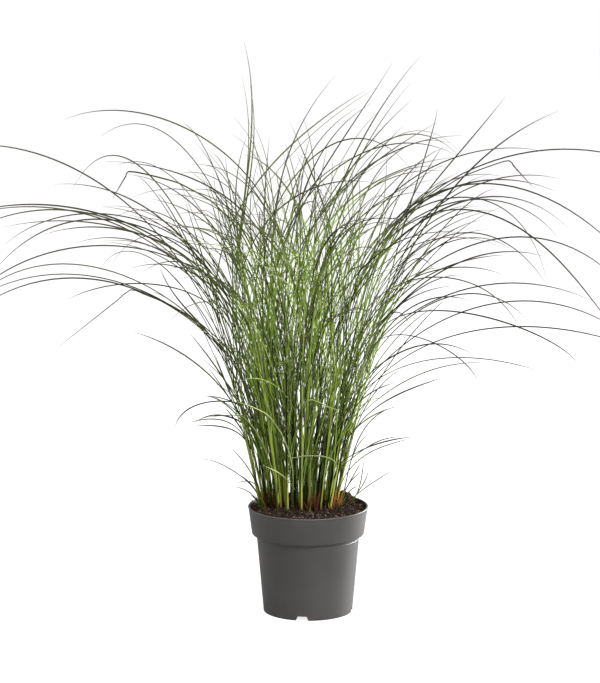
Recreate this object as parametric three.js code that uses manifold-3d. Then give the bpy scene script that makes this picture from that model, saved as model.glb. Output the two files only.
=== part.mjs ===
// Gracillimus maiden grass in a plastic nursery pot.
// Millimetres, +Z up. The origin is the middle of the pot's foot, on the ground, and the front is at -Y.
// The clump is a crown of tillers in a pot full of soil: each tiller is a stem with its own long blades.
import * as THREE from "three";
import { mergeVertices } from "three/addons/utils/BufferGeometryUtils.js";
import Module from "manifold-3d";

const wasm = await Module();
wasm.setup();

const { sin, cos, abs, min, max, sqrt, floor, round, ceil, hypot, acos, atan2 } = Math;
const degrees = (angle) => (angle * Math.PI) / 180;

// Pot: a round tapered body under a wider rim band, on a foot ring with notches for draining.
const POT_HEIGHT = 170;
const POT_WALL = 2;
const POT_SIDES = 40;
const FOOT_RADIUS = 70.6;
const SHOULDER_RADIUS = 81.3;
const SHOULDER_HEIGHT = 122;
const BAND_HEIGHT = 43;
const BAND_FOOT_RADIUS = 89;
const RIM_RADIUS = 95;
const LIP_WIDTH = 2.8;
const LIP_DEPTH = 3.6;
const LIP_OVERHANG = 0.9;
const SHOULDER_FLARE = 2.2;
const SHOULDER_ROUND = 2.6;
const BAND_ROUND = { across: 2.4, up: 1.6 };
const FOOT_ROUND = { across: 0.8, up: 2.5 };
const TOP_ROUND = { across: 0.7, up: 1.2 };
const FLOOR_UNDERSIDE = 8;
const FOOT_WIDTH = 3.4;
const FOOT_TAPER = 1;
const NOTCHES = 4;
const NOTCH_TURN = degrees(-7.7);
const NOTCH_FOOT = 21;
const NOTCH_TOP = 14;
const NOTCH_HEIGHT = 7;
const NOTCH_LENGTH = 20;
const DRAINS = 6;
const DRAIN_RADIUS = 6;
const DRAIN_CIRCLE = 48;
const DRAIN_SIDES = 10;

// Soil: it fills the pot to just under the lip, heaped a little at the back right.
const GAP = 0.3;
const SOIL_LEVEL = 165;
const SOIL_SIDES = 24;
const SOIL_RINGS = [0, 20, 40, 58, 75];
const SOIL_EDGE_GAP = 1;
const HEAP = { x: 54, y: 50, height: 17, spread: 380 };
const SINK = { depth: 2.2, radius: 88 };

// Crown: where the tillers stand, and how far they lean.
const TILLERS = 44;
const CROWN = { x: -13, y: 21, across: 64, deep: 44 };
const GOLDEN_ANGLE = degrees(137.508);
const LEAN_AT_SOIL = degrees(11);
const LEAN_AT_TOP = degrees(20);
const STEM_DEPTH = 38;
const STEM_STRAIGHT = 26;
const STEM_HALF_WIDTH = 2.9;
const STEM_HALF_DEPTH = 2.3;
const STEM_STEPS = 12;
const HOLE_GAP = 0.35;
const HOLE_RISE = 4;

// Blades: how finely a curve is worked out, and how many of its points a solid blade keeps.
const CURVE_STEPS = 20;
const SHORT_BLADE = 330;
const LONG_BLADE = 500;
const BLADE_SEGMENTS = { short: 4, middle: 5, long: 6 };
const KEEL = 1.05;
const SMALLEST_EDGE = 0.12;
const BLADE_GAP = 0.45;
const BALL_SPACING = 5;
const ROOT_RUN = 55;
const LOWEST_BLADE = 181;
const REACH = { x: 590, y: 560 };

// Old brown shoots, cut short long ago: where each stands in the crown, and its height over the soil.
const OLD_SHOOTS = [
  { x: -62, y: 4, height: 34 },
  { x: -52, y: -6, height: 26 },
  { x: -9, y: -10, height: 32 },
  { x: 4, y: -14, height: 36 },
  { x: 40, y: 4, height: 34 },
  { x: 48, y: 16, height: 28 },
  { x: 20, y: 62, height: 36 },
  { x: -44, y: 56, height: 40 },
];
const SHOOT_HALF_WIDTH = 3.1;
const SHOOT_HALF_DEPTH = 2.2;
const SHOOT_DEPTH = 12;
const SHOOT_KNEE = 8;
const SHOOT_BEND = degrees(8);

// The long blades that shape the clump are laid out by hand as a viewer in front sees them, in the plane
// through the pot's middle: two to four points (x, z) from the root side to the tip.
const VIEWER = { x: -12.7, y: -6000, z: 1610 };
const LEFT_HIGH = [
  [[-100, 702], [-308, 799], [-378, 785]],
  [[-130, 640], [-268, 778], [-323, 758]],
  [[-200, 560], [-400, 724], [-590, 738]],
  [[-180, 595], [-322, 725], [-367, 675]],
  [[-155, 680], [-250, 713], [-315, 719]],
  [[-160, 550], [-300, 670], [-395, 683]],
  [[-150, 520], [-350, 643], [-560, 625]],
  [[-220, 572], [-400, 646], [-540, 630]],
  [[-210, 570], [-385, 643], [-570, 580]],
  [[-190, 590], [-330, 637], [-478, 584]],
  [[-180, 570], [-335, 628], [-500, 535]],
  [[-250, 600], [-410, 625], [-478, 615]],
  [[-200, 575], [-340, 616], [-415, 603]],
];
const LEFT_MIDDLE = [
  [[-200, 560], [-305, 599], [-370, 588]],
  [[-170, 545], [-305, 586], [-560, 462]],
  [[-202, 489], [-350, 555], [-560, 460]],
  [[-202, 483], [-378, 541], [-560, 474]],
  [[-190, 472], [-375, 535], [-560, 450]],
  [[-150, 490], [-260, 526], [-378, 500]],
  [[-120, 500], [-200, 560], [-260, 543]],
  [[-130, 500], [-200, 551], [-280, 549]],
  [[-150, 440], [-200, 497], [-231, 552]],
  [[-165, 570], [-193, 663]],
];
const LEFT_LOW = [
  [[-95, 280], [-150, 375], [-277, 450]],
  [[-130, 370], [-188, 450]],
  [[-115, 335], [-170, 347]],
  [[-50, 290], [-120, 337], [-210, 293]],
  [[-105, 287], [-190, 303]],
  [[-92, 262], [-182, 298]],
  [[-103, 289], [-133, 331]],
  [[-100, 300], [-146, 316], [-178, 304]],
];
const TOP = [
  [[-107, 600], [-87, 790], [-99, 906]],
  [[-99, 640], [-84, 760], [-90, 840]],
  [[-108, 590], [-112, 680], [-95, 760]],
  [[-60, 650], [-85, 745], [-115, 788]],
  [[-118, 640], [-130, 735]],
  [[-125, 640], [-145, 705], [-173, 747]],
  [[-68, 650], [-60, 757]],
  [[-50, 650], [-25, 745], [42, 853]],
  [[-100, 655], [0, 768], [87, 829]],
  [[-50, 640], [-30, 740]],
  [[30, 630], [0, 715], [-28, 780]],
  [[0, 665], [50, 748], [130, 873]],
  [[40, 650], [85, 755], [172, 882]],
  [[40, 660], [100, 753], [160, 815]],
  [[25, 640], [100, 714], [200, 780]],
  [[95, 715], [148, 775]],
  [[0, 690], [50, 772], [98, 810]],
];
const RIGHT_HIGH = [
  [[-15, 702], [70, 755], [160, 707]],
  [[60, 700], [145, 760], [235, 727]],
  [[50, 712], [160, 748], [232, 728]],
  [[75, 697], [150, 742], [240, 760]],
  [[75, 667], [137, 703], [225, 725]],
  [[200, 690], [255, 757], [305, 820]],
  [[175, 605], [300, 748], [388, 798]],
  [[150, 683], [325, 740], [365, 735]],
  [[200, 675], [370, 737], [590, 680]],
  [[150, 640], [265, 684], [394, 650], [520, 541]],
  [[170, 650], [280, 690], [385, 672]],
  [[180, 630], [300, 693], [390, 692]],
  [[170, 620], [285, 664], [405, 615]],
  [[140, 610], [245, 658], [390, 598]],
];
const RIGHT_MIDDLE = [
  [[130, 600], [225, 643], [361, 591], [500, 432]],
  [[120, 610], [215, 660], [375, 525]],
  [[200, 560], [325, 600], [520, 488]],
  [[150, 562], [225, 604], [375, 522]],
  [[200, 540], [320, 577], [373, 568]],
  [[200, 545], [310, 572]],
  [[140, 520], [235, 552], [303, 541]],
  [[200, 500], [320, 527], [450, 496]],
  [[110, 505], [165, 532], [335, 447]],
  [[150, 465], [240, 509], [345, 466]],
  [[120, 450], [212, 505], [250, 500]],
  [[180, 450], [310, 497], [540, 408]],
  [[120, 460], [210, 483], [425, 394]],
  [[175, 422], [360, 457], [560, 402]],
  [[100, 385], [160, 423], [263, 410]],
  [[105, 370], [240, 408], [368, 385]],
];
const RIGHT_LOW = [
  [[125, 353], [200, 390], [282, 400]],
  [[85, 307], [150, 353], [213, 377]],
  [[110, 435], [200, 430], [268, 366]],
  [[90, 345], [140, 369]],
  [[85, 303], [137, 329]],
  [[74, 250], [100, 268], [143, 280]],
  [[82, 258], [114, 271], [168, 281]],
];
// A few blades are creased and hang straight from the crease, their second point.
const CREASED = [
  [[-150, 655], [-279, 703], [-305, 660]],
  [[-160, 455], [-278, 516], [-399, 419]],
  [[180, 655], [312, 720], [353, 675]],
];

// Where the clump may be seen from the front, so that the blades drawn at random fill its middle:
// at each height, how far it goes to the left and to the right.
const OUTLINE = [
  { z: 170, left: -105, right: 95 },
  { z: 220, left: -150, right: 130 },
  { z: 300, left: -165, right: 150 },
  { z: 400, left: -190, right: 185 },
  { z: 500, left: -235, right: 225 },
  { z: 600, left: -330, right: 320 },
  { z: 700, left: -320, right: 320 },
  { z: 760, left: -170, right: 220 },
  { z: 800, left: -90, right: 140 },
];

// The blades of one tiller, from the lowest to the flag leaf: where each leaves the stem, as a share of
// its height, how long it is, how far it leaves the stem's own direction, how far its tip bows down
// (each in the middle of the crown, then at its edge), and how wide it is.
const UPRIGHT = { droopLow: [22, 22], droopHigh: [80, 80], width: [2.8, 3.3] };
const ARCHING = { droopLow: [42, 84], droopHigh: [104, 130], width: [3.1, 3.9] };
const RANKS = [
  { ...UPRIGHT, share: 0.2, length: [150, 250], depart: [10, 20] },
  { ...UPRIGHT, share: 0.36, length: [240, 360], depart: [7, 15] },
  { ...ARCHING, share: 0.5, length: [330, 450], depart: [5, 14] },
  { ...ARCHING, share: 0.63, length: [400, 520], depart: [4, 14] },
  { ...ARCHING, share: 0.74, length: [410, 540], depart: [3, 12] },
  { ...ARCHING, share: 0.82, length: [410, 560], depart: [2, 10] },
];
const INNER_LENGTH = 0.84;
const OUTER_LENGTH = 1.08;
const OUTWARD_PULL = 1.6;
const SWERVE = degrees(40);
const MOST_BLADES = 8;
const TRIES = 36;
const FURTHEST = { length: 600, width: 3.6, power: 1.3 };

// How a hand-laid blade finds its tiller: the shares of a stem's height that it may leave at, how much
// each thing counts against a place, and how many places and how many slopes in depth are tried.
const STEM_SHARES = [0.3, 0.42, 0.54, 0.66, 0.76, 0.84];
const MISFIT = { bend: 0.35, straight: 0.5, length: 1 / 300, crowded: 0.09 };
const EASY_LENGTH = 520;
const LEAST_BEND = 0.25;
const PLACES_TRIED = 40;
const SLOPES_TRIED = 13;
const SLOPE_STEP = 0.035;
const MOST_SLOPE = 0.5;

const vec = (x, y, z) => [x, y, z];
const plus = (a, b, share = 1) => [a[0] + b[0] * share, a[1] + b[1] * share, a[2] + b[2] * share];
const minus = (a, b) => plus(a, b, -1);
const dot = (a, b) => a[0] * b[0] + a[1] * b[1] + a[2] * b[2];
const cross = (a, b) => [
  a[1] * b[2] - a[2] * b[1],
  a[2] * b[0] - a[0] * b[2],
  a[0] * b[1] - a[1] * b[0],
];
const size = (a) => sqrt(dot(a, a));
const unit = (a) => plus([0, 0, 0], a, 1 / size(a));
const angleBetween = (a, b) => acos(min(1, max(-1, dot(unit(a), unit(b)))));
const mix = (low, high, share) => low + (high - low) * share;
// A direction that leans from upright towards a heading.
const leaning = (lean, heading) => [
  sin(lean) * cos(heading),
  sin(lean) * sin(heading),
  cos(lean),
];

// A repeatable draw of numbers from 0 to 1.
function drawer(seed) {
  let state = seed >>> 0;
  return () => {
    state = (state + 0x6d2b79f5) >>> 0;
    let mixed = Math.imul(state ^ (state >>> 15), 1 | state);
    mixed = (mixed + Math.imul(mixed ^ (mixed >>> 7), 61 | mixed)) ^ mixed;
    return ((mixed ^ (mixed >>> 14)) >>> 0) / 4294967296;
  };
}

// A three.js geometry as a solid.
function solidOf(geometry) {
  geometry.deleteAttribute("normal");
  geometry.deleteAttribute("uv");
  const merged = mergeVertices(geometry, 1e-3);
  const index = merged.index.array;
  const triangles = [];
  for (let i = 0; i < index.length; i += 3) {
    const [a, b, c] = [index[i], index[i + 1], index[i + 2]];
    if (a !== b && b !== c && c !== a) triangles.push(a, b, c);
  }
  return new wasm.Manifold(
    new wasm.Mesh({
      numProp: 3,
      vertProperties: new Float32Array(merged.getAttribute("position").array),
      triVerts: new Uint32Array(triangles),
    }),
  );
}

function namedMesh(name, solid, material) {
  const made = solid.getMesh();
  const geometry = new THREE.BufferGeometry();
  geometry.setAttribute("position", new THREE.BufferAttribute(made.vertProperties, 3));
  geometry.setIndex(new THREE.BufferAttribute(made.triVerts, 1));
  geometry.computeVertexNormals();
  const mesh = new THREE.Mesh(geometry, material);
  mesh.name = name;
  return mesh;
}

// A solid of revolution about +Z from the points (radius, height) of its outline.
function turned(outline, sides) {
  const points = outline.map(([radius, height]) => new THREE.Vector2(radius, height));
  return new THREE.LatheGeometry(points, sides).rotateX(Math.PI / 2);
}

// The pot's outline, from the middle of its floor out, up, over the lip and back down inside.
function potOutline() {
  const bandFoot = POT_HEIGHT - BAND_HEIGHT;
  const inner = (radius) => radius - POT_WALL;
  return [
    [0, FLOOR_UNDERSIDE],
    [FOOT_RADIUS - FOOT_WIDTH - FOOT_TAPER, FLOOR_UNDERSIDE],
    [FOOT_RADIUS - FOOT_WIDTH, 0],
    [FOOT_RADIUS - FOOT_ROUND.across, 0],
    [FOOT_RADIUS, FOOT_ROUND.up],
    [SHOULDER_RADIUS, SHOULDER_HEIGHT],
    [SHOULDER_RADIUS + SHOULDER_FLARE, bandFoot - SHOULDER_ROUND],
    [BAND_FOOT_RADIUS - BAND_ROUND.across, bandFoot - BAND_ROUND.up],
    [BAND_FOOT_RADIUS, bandFoot + BAND_ROUND.up],
    [RIM_RADIUS - LIP_OVERHANG, POT_HEIGHT - LIP_DEPTH],
    [RIM_RADIUS, POT_HEIGHT - TOP_ROUND.up],
    [RIM_RADIUS - TOP_ROUND.across, POT_HEIGHT],
    [RIM_RADIUS - LIP_WIDTH, POT_HEIGHT],
    [inner(RIM_RADIUS) - LIP_OVERHANG, POT_HEIGHT - LIP_DEPTH],
    [inner(BAND_FOOT_RADIUS), bandFoot + BAND_ROUND.up],
    [inner(SHOULDER_RADIUS) + FOOT_TAPER, bandFoot],
    [inner(SHOULDER_RADIUS), SHOULDER_HEIGHT],
    [inner(FOOT_RADIUS) + FOOT_ROUND.across, FLOOR_UNDERSIDE + POT_WALL],
    [0, FLOOR_UNDERSIDE + POT_WALL],
  ];
}

// A notch through the foot ring, narrower at its top.
function notch(turn) {
  const outline = new THREE.Shape([
    new THREE.Vector2(-NOTCH_FOOT / 2, -1),
    new THREE.Vector2(NOTCH_FOOT / 2, -1),
    new THREE.Vector2(NOTCH_TOP / 2, NOTCH_HEIGHT),
    new THREE.Vector2(-NOTCH_TOP / 2, NOTCH_HEIGHT),
  ]);
  return new THREE.ExtrudeGeometry(outline, { depth: NOTCH_LENGTH, bevelEnabled: false })
    .rotateX(Math.PI / 2)
    .translate(0, NOTCH_LENGTH / 2 - FOOT_RADIUS, 0)
    .rotateZ(turn);
}

function drain(turn) {
  return new THREE.CylinderGeometry(DRAIN_RADIUS, DRAIN_RADIUS, 3 * POT_WALL, DRAIN_SIDES)
    .rotateX(Math.PI / 2)
    .translate(DRAIN_CIRCLE * cos(turn), DRAIN_CIRCLE * sin(turn), FLOOR_UNDERSIDE + POT_WALL / 2);
}

function potSolid() {
  let pot = solidOf(turned(potOutline(), POT_SIDES));
  for (let i = 0; i < NOTCHES; i++)
    pot = pot.subtract(solidOf(notch(NOTCH_TURN + (i * 2 * Math.PI) / NOTCHES)));
  for (let i = 0; i < DRAINS; i++)
    pot = pot.subtract(solidOf(drain((i * 2 * Math.PI) / DRAINS)));
  return pot.asOriginal().simplify(SMALLEST_EDGE);
}

// The height of the soil's top: a bumpy face, heaped at the back right, that sinks to its edge.
function soilHeight(x, y) {
  const heap = HEAP.height * Math.exp(-((x - HEAP.x) ** 2 + (y - HEAP.y) ** 2) / HEAP.spread);
  const bumps = 1.4 * sin(x / 9 + 1) * cos(y / 8) + 1.1 * sin((x + 2 * y) / 13);
  const sunk = SINK.depth * (hypot(x, y) / SINK.radius) ** 4;
  return SOIL_LEVEL + heap + bumps - sunk;
}

// The soil as one solid of revolution inside the pot, whose top points are then raised to its height.
function soilSolid(holes) {
  const bandFoot = POT_HEIGHT - BAND_HEIGHT;
  const flats = cos(Math.PI / POT_SIDES);
  const inner = (radius) => flats * (radius - POT_WALL - GAP);
  const taper = (RIM_RADIUS - BAND_FOOT_RADIUS) / BAND_HEIGHT;
  const edge = inner(BAND_FOOT_RADIUS) + taper * (SOIL_LEVEL - bandFoot) - SOIL_EDGE_GAP;
  const outline = [
    [0, FLOOR_UNDERSIDE + POT_WALL + GAP],
    [inner(FOOT_RADIUS), FLOOR_UNDERSIDE + POT_WALL + GAP],
    [inner(SHOULDER_RADIUS) - GAP / 2, SHOULDER_HEIGHT],
    [inner(SHOULDER_RADIUS) + 2 * GAP, bandFoot + 2 * GAP],
    [inner(BAND_FOOT_RADIUS) - SOIL_EDGE_GAP, bandFoot + BAND_ROUND.up + SOIL_EDGE_GAP],
    [edge, SOIL_LEVEL],
    ...SOIL_RINGS.toReversed().map((radius) => [radius, SOIL_LEVEL]),
  ];
  const geometry = turned(outline, SOIL_SIDES);
  const place = geometry.getAttribute("position");
  for (let i = 0; i < place.count; i++) {
    const [x, y] = [place.getX(i), place.getY(i)];
    if (place.getZ(i) > SOIL_LEVEL - 1) place.setZ(i, soilHeight(x, y));
  }
  const soil = holes.reduce((filled, hole) => filled.subtract(hole), solidOf(geometry));
  return soil.asOriginal().simplify(SMALLEST_EDGE);
}

// A pointed solid: each ring stands across its place on a spine, and the last place is the tip.
// A ring gives its place, its direction, the direction of its width, and its half width and depth.
function spear(sides, rings) {
  const levels = rings.length - 1;
  const cone = new THREE.ConeGeometry(1, 1, sides, levels);
  const place = cone.getAttribute("position");
  for (let i = 0; i < place.count; i++) {
    const level = round((place.getY(i) + 0.5) * levels);
    const ring = rings[level];
    const spread = level < levels ? levels / (levels - level) : 0;
    const deep = cross(ring.wide, ring.along);
    const point = plus(
      plus(ring.at, ring.wide, place.getX(i) * spread * ring.halfWidth),
      deep,
      place.getZ(i) * spread * ring.halfDepth,
    );
    place.setXYZ(i, ...point);
  }
  return solidOf(cone);
}

// A tiller's stem: where it stands, how it leans and how tall it grows, by its place in the crown.
function tillerAt(index) {
  const draw = drawer(1000 + index);
  const outward = sqrt((index + 0.5) / TILLERS);
  const turn = index * GOLDEN_ANGLE;
  const x = CROWN.x + CROWN.across * outward * cos(turn) + 5 * (draw() - 0.5);
  const y = CROWN.y + CROWN.deep * outward * sin(turn) + 5 * (draw() - 0.5);
  const heading = turn + degrees(40) * (draw() - 0.5);
  const lean = LEAN_AT_SOIL * outward * mix(0.8, 1.15, draw());
  const leanTop = LEAN_AT_TOP * outward * mix(0.8, 1.12, draw());
  const height = mix(215, 290, draw());
  const rank = heading + degrees(90) * draw();
  const base = vec(x, y, soilHeight(x, y));
  return { index, outward, heading, lean, leanTop, height, rank, base, blades: [], handLaid: 0 };
}

// The direction of a stem at a share of its height, and its place there.
function stemDirection(tiller, share) {
  const bent = max(0, share * tiller.height - STEM_STRAIGHT) / (tiller.height - STEM_STRAIGHT);
  return leaning(mix(tiller.lean, tiller.leanTop, bent), tiller.heading);
}

function stemPoint(tiller, share) {
  let point = tiller.base;
  for (let i = 0; i < STEM_STEPS; i++) {
    const along = stemDirection(tiller, (share * (i + 0.5)) / STEM_STEPS);
    point = plus(point, along, (share * tiller.height) / STEM_STEPS);
  }
  return point;
}

const stemSide = (tiller) => vec(-sin(tiller.heading), cos(tiller.heading), 0);

// A stem's rings: straight from its foot in the soil, then thinner and more leant to its tip.
function stemRings(tiller) {
  const wide = stemSide(tiller);
  const straight = stemDirection(tiller, 0);
  const foot = plus(tiller.base, straight, -STEM_DEPTH);
  const knee = STEM_STRAIGHT / tiller.height;
  const shares = [knee, 0.5, 0.86, 1];
  const thickness = [0.95, 0.75, 0.55, 0];
  const rings = shares.map((share, i) => ({
    at: stemPoint(tiller, share),
    along: stemDirection(tiller, share),
    wide,
    halfWidth: STEM_HALF_WIDTH * thickness[i],
    halfDepth: STEM_HALF_DEPTH * thickness[i],
  }));
  const lowest = { wide, along: straight, halfWidth: STEM_HALF_WIDTH, halfDepth: STEM_HALF_DEPTH };
  return [{ ...lowest, at: foot }, ...rings];
}

// The hole that a stem or an old shoot stands in: its foot made wider by the gap, open above the soil.
function holeFor(rings) {
  const [foot, knee] = rings;
  const wider = (ring, at) => ({
    ...ring,
    at,
    halfWidth: foot.halfWidth + 1.5 * HOLE_GAP,
    halfDepth: foot.halfDepth + 1.5 * HOLE_GAP,
  });
  const bottom = plus(foot.at, foot.along, -2 * HOLE_GAP);
  const top = plus(knee.at, foot.along, HOLE_RISE);
  const tip = plus(top, foot.along, HOLE_RISE);
  return spear(4, [wider(foot, bottom), wider(foot, top), wider(foot, tip)]);
}

// What is placed already, as balls along each stem and blade, kept by the cube of space they lie in.
class Thicket {
  constructor() {
    this.cube = 9;
    this.cubes = new Map();
  }

  key(i, j, k) {
    return (i + 512) * 1048576 + (j + 512) * 1024 + (k + 512);
  }

  add(balls) {
    for (const ball of balls) {
      const key = this.key(...ball.at.map((value) => floor(value / this.cube)));
      if (!this.cubes.has(key)) this.cubes.set(key, []);
      this.cubes.get(key).push(ball);
    }
  }

  // Whether a ball is too near one that is placed; a tiller's own parts may touch near a blade's root.
  touches(ball) {
    const [i, j, k] = ball.at.map((value) => floor(value / this.cube));
    for (let a = i - 1; a <= i + 1; a++)
      for (let b = j - 1; b <= j + 1; b++)
        for (let c = k - 1; c <= k + 1; c++)
          for (const other of this.cubes.get(this.key(a, b, c)) ?? []) {
            if (other.owner === ball.owner && ball.run < ROOT_RUN) continue;
            const apart = minus(ball.at, other.at);
            const least = ball.radius + other.radius + BLADE_GAP;
            if (dot(apart, apart) < least * least + (BALL_SPACING * BALL_SPACING) / 2) return true;
          }
    return false;
  }

  holds(balls) {
    return balls.some((ball) => this.touches(ball));
  }
}

// Balls along the straight segments between some points, each as wide as the piece is there.
function ballsAlong(points, radii, owner) {
  const balls = [];
  let run = 0;
  for (let i = 0; i + 1 < points.length; i++) {
    const length = size(minus(points[i + 1], points[i]));
    const count = ceil(length / BALL_SPACING);
    for (let j = 0; j < count; j++) {
      const share = (j + 0.5) / count;
      const at = plus(points[i], minus(points[i + 1], points[i]), share);
      const radius = mix(radii[i], radii[i + 1], share);
      balls.push({ at, radius, owner, run: run + length * share });
    }
    run += length;
  }
  return balls;
}

// A blade's half width at a share of its length: narrow at the root, widest at a third, pointed.
const halfWidthAt = (blade, share) =>
  0.5 * blade.width * min(1, 0.45 + 2.2 * share) * (1 - share ** 3);

// The points of a blade that its solid keeps, and the half width at each.
function keptPoints(blade) {
  const kept = [];
  const reach = size(minus(blade.curve.at(-1), blade.curve[0]));
  const { short, middle, long } = BLADE_SEGMENTS;
  const segments = reach < SHORT_BLADE ? short : reach > LONG_BLADE ? long : middle;
  for (let i = 0; i <= segments; i++) {
    const step = round(CURVE_STEPS * (i / segments) ** 0.75);
    const before = blade.curve[max(0, step - 1)];
    const after = blade.curve[min(CURVE_STEPS, step + 1)];
    const share = step / CURVE_STEPS;
    kept.push({ at: blade.curve[step], along: unit(minus(after, before)), share });
  }
  return kept;
}

function bladeBalls(blade, owner) {
  const kept = keptPoints(blade);
  return ballsAlong(
    kept.map(({ at }) => at),
    kept.map(({ share }) => halfWidthAt(blade, share) + 0.1),
    owner,
  );
}

// Whether a blade stays over the pot's rim and inside the clump's reach.
function withinReach(blade) {
  return blade.curve.every(
    ([x, y, z]) => z > LOWEST_BLADE && abs(x) < REACH.x + 1 && abs(y) < REACH.y + 1,
  );
}

// How far the clump's outline goes at a height.
function outlineAt(z) {
  const above = OUTLINE.findIndex((row) => row.z > z);
  if (above < 1) return above < 0 ? null : OUTLINE[0];
  const [low, high] = [OUTLINE[above - 1], OUTLINE[above]];
  const share = (z - low.z) / (high.z - low.z);
  return { left: mix(low.left, high.left, share), right: mix(low.right, high.right, share) };
}

function withinOutline(blade) {
  return blade.curve.every(([x, , z]) => {
    const outline = outlineAt(z);
    return outline !== null && x > outline.left && x < outline.right;
  });
}

// A smooth curve through some points, worked out where their straight distances say, as CURVE_STEPS steps.
function curveThrough(points) {
  const knots = [0];
  for (let i = 1; i < points.length; i++)
    knots.push(knots[i - 1] + size(minus(points[i], points[i - 1])));
  const curve = [];
  for (let step = 0; step <= CURVE_STEPS; step++) {
    const at = (knots.at(-1) * step) / CURVE_STEPS;
    let point = [0, 0, 0];
    points.forEach((node, i) => {
      let weight = 1;
      knots.forEach((knot, j) => {
        if (j !== i) weight *= (at - knot) / (knots[i] - knot);
      });
      point = plus(point, node, weight);
    });
    curve.push(point);
  }
  return curve;
}

// A creased blade: a curve through all but the last point, then straight on to it.
function creasedCurve(points) {
  const crease = points.at(-2);
  const hang = minus(points.at(-1), crease);
  const whole = curveThrough(points.slice(0, -1));
  const straightSteps = 6;
  const curvedSteps = CURVE_STEPS - straightSteps;
  const curve = [];
  for (let step = 0; step <= curvedSteps; step++)
    curve.push(whole[round((step * CURVE_STEPS) / curvedSteps)]);
  for (let step = 1; step <= straightSteps; step++)
    curve.push(plus(crease, hang, step / straightSteps));
  return curve;
}

// A point that the viewer sees in the front plane, moved along the line of sight to another depth,
// except that a tip at the clump's own reach stays at it.
function deepen([x, z], y) {
  const share = (y - VIEWER.y) / -VIEWER.y;
  const across = abs(x) === REACH.x ? x : mix(VIEWER.x, x, share);
  return vec(across, y, mix(VIEWER.z, z, share));
}

// A hand-laid blade grown from a tiller, going towards or away from the viewer by a slope.
function handLaid(tiller, share, points, creased, slope) {
  const root = stemPoint(tiller, share);
  const placed = points.map(([x, z]) => deepen([x, z], root[1] + slope * abs(x - root[0])));
  const curve = creased ? creasedCurve([root, ...placed]) : curveThrough([root, ...placed]);
  const tip = placed.at(-1);
  const heading = atan2(tip[1] - root[1], tip[0] - root[0]);
  return { curve, heading };
}

// How ill a hand-laid blade would suit a tiller: how sharply it would turn, and how long it would be.
function misfit(tiller, share, points) {
  const root = stemPoint(tiller, share);
  const slope = slopeOf(tiller, points);
  const [first, second] = points.map(([x, z]) => deepen([x, z], root[1] + slope * abs(x - root[0])));
  const leave = minus(first, root);
  const onward = minus(second, first);
  const turnAtRoot = angleBetween(stemDirection(tiller, share), leave);
  const turnAfter = angleBetween(leave, onward);
  const length = size(leave) + size(onward);
  const straight = points.length > 2 ? max(0, LEAST_BEND - turnAfter) : 0;
  return (
    turnAtRoot +
    MISFIT.bend * turnAfter +
    MISFIT.straight * straight +
    MISFIT.length * max(0, length - EASY_LENGTH) +
    MISFIT.crowded * tiller.handLaid
  );
}

// How a blade on the viewer's left or right goes in depth: on along its tiller's own lean.
function slopeOf(tiller, points) {
  const outward = points.at(-1)[0] - tiller.base[0];
  const across = max(0.35, abs(cos(tiller.heading)));
  const slope = sin(tiller.heading) / across;
  return min(MOST_SLOPE, max(-MOST_SLOPE, slope)) * (abs(outward) > 60 ? 1 : 0.4);
}

// Grows one hand-laid blade from the tiller that suits it best and has room for it.
function growHandLaid(points, creased, number, tillers, thicket) {
  const draw = drawer(20000 + number);
  const width = mix(2.9, 3.7, draw());
  const roll = degrees(40) * (draw() - 0.5);
  const places = [];
  for (const tiller of tillers)
    for (const share of STEM_SHARES)
      places.push({ tiller, share, cost: misfit(tiller, share, points) });
  places.sort((a, b) => a.cost - b.cost);
  for (const { tiller, share } of places.slice(0, PLACES_TRIED)) {
    for (let attempt = 0; attempt < SLOPES_TRIED; attempt++) {
      const side = attempt % 2 ? 1 : -1;
      const slope = slopeOf(tiller, points) + side * SLOPE_STEP * ceil(attempt / 2);
      const { curve, heading } = handLaid(tiller, share, points, creased, slope);
      const blade = { curve, heading, width, roll };
      const balls = bladeBalls(blade, tiller.index);
      if (!withinReach(blade) || thicket.holds(balls)) continue;
      tiller.blades.push(blade);
      tiller.handLaid += 1;
      thicket.add(balls);
      return;
    }
  }
  throw new Error(`hand-laid blade ${number} finds no room`);
}

// A blade that leaves a stem and arches over under its own weight: its pitch grows along it, and its
// heading swerves a little.
function archedCurve(root, heading, lean, droop, power, length, swerve) {
  const curve = [root];
  for (let i = 0; i < CURVE_STEPS; i++) {
    const share = (i + 0.5) / CURVE_STEPS;
    const pitch = mix(lean, droop, share ** power);
    const way = heading + swerve * share ** 2;
    curve.push(plus(curve[i], leaning(pitch, way), length / CURVE_STEPS));
  }
  return curve;
}

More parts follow.
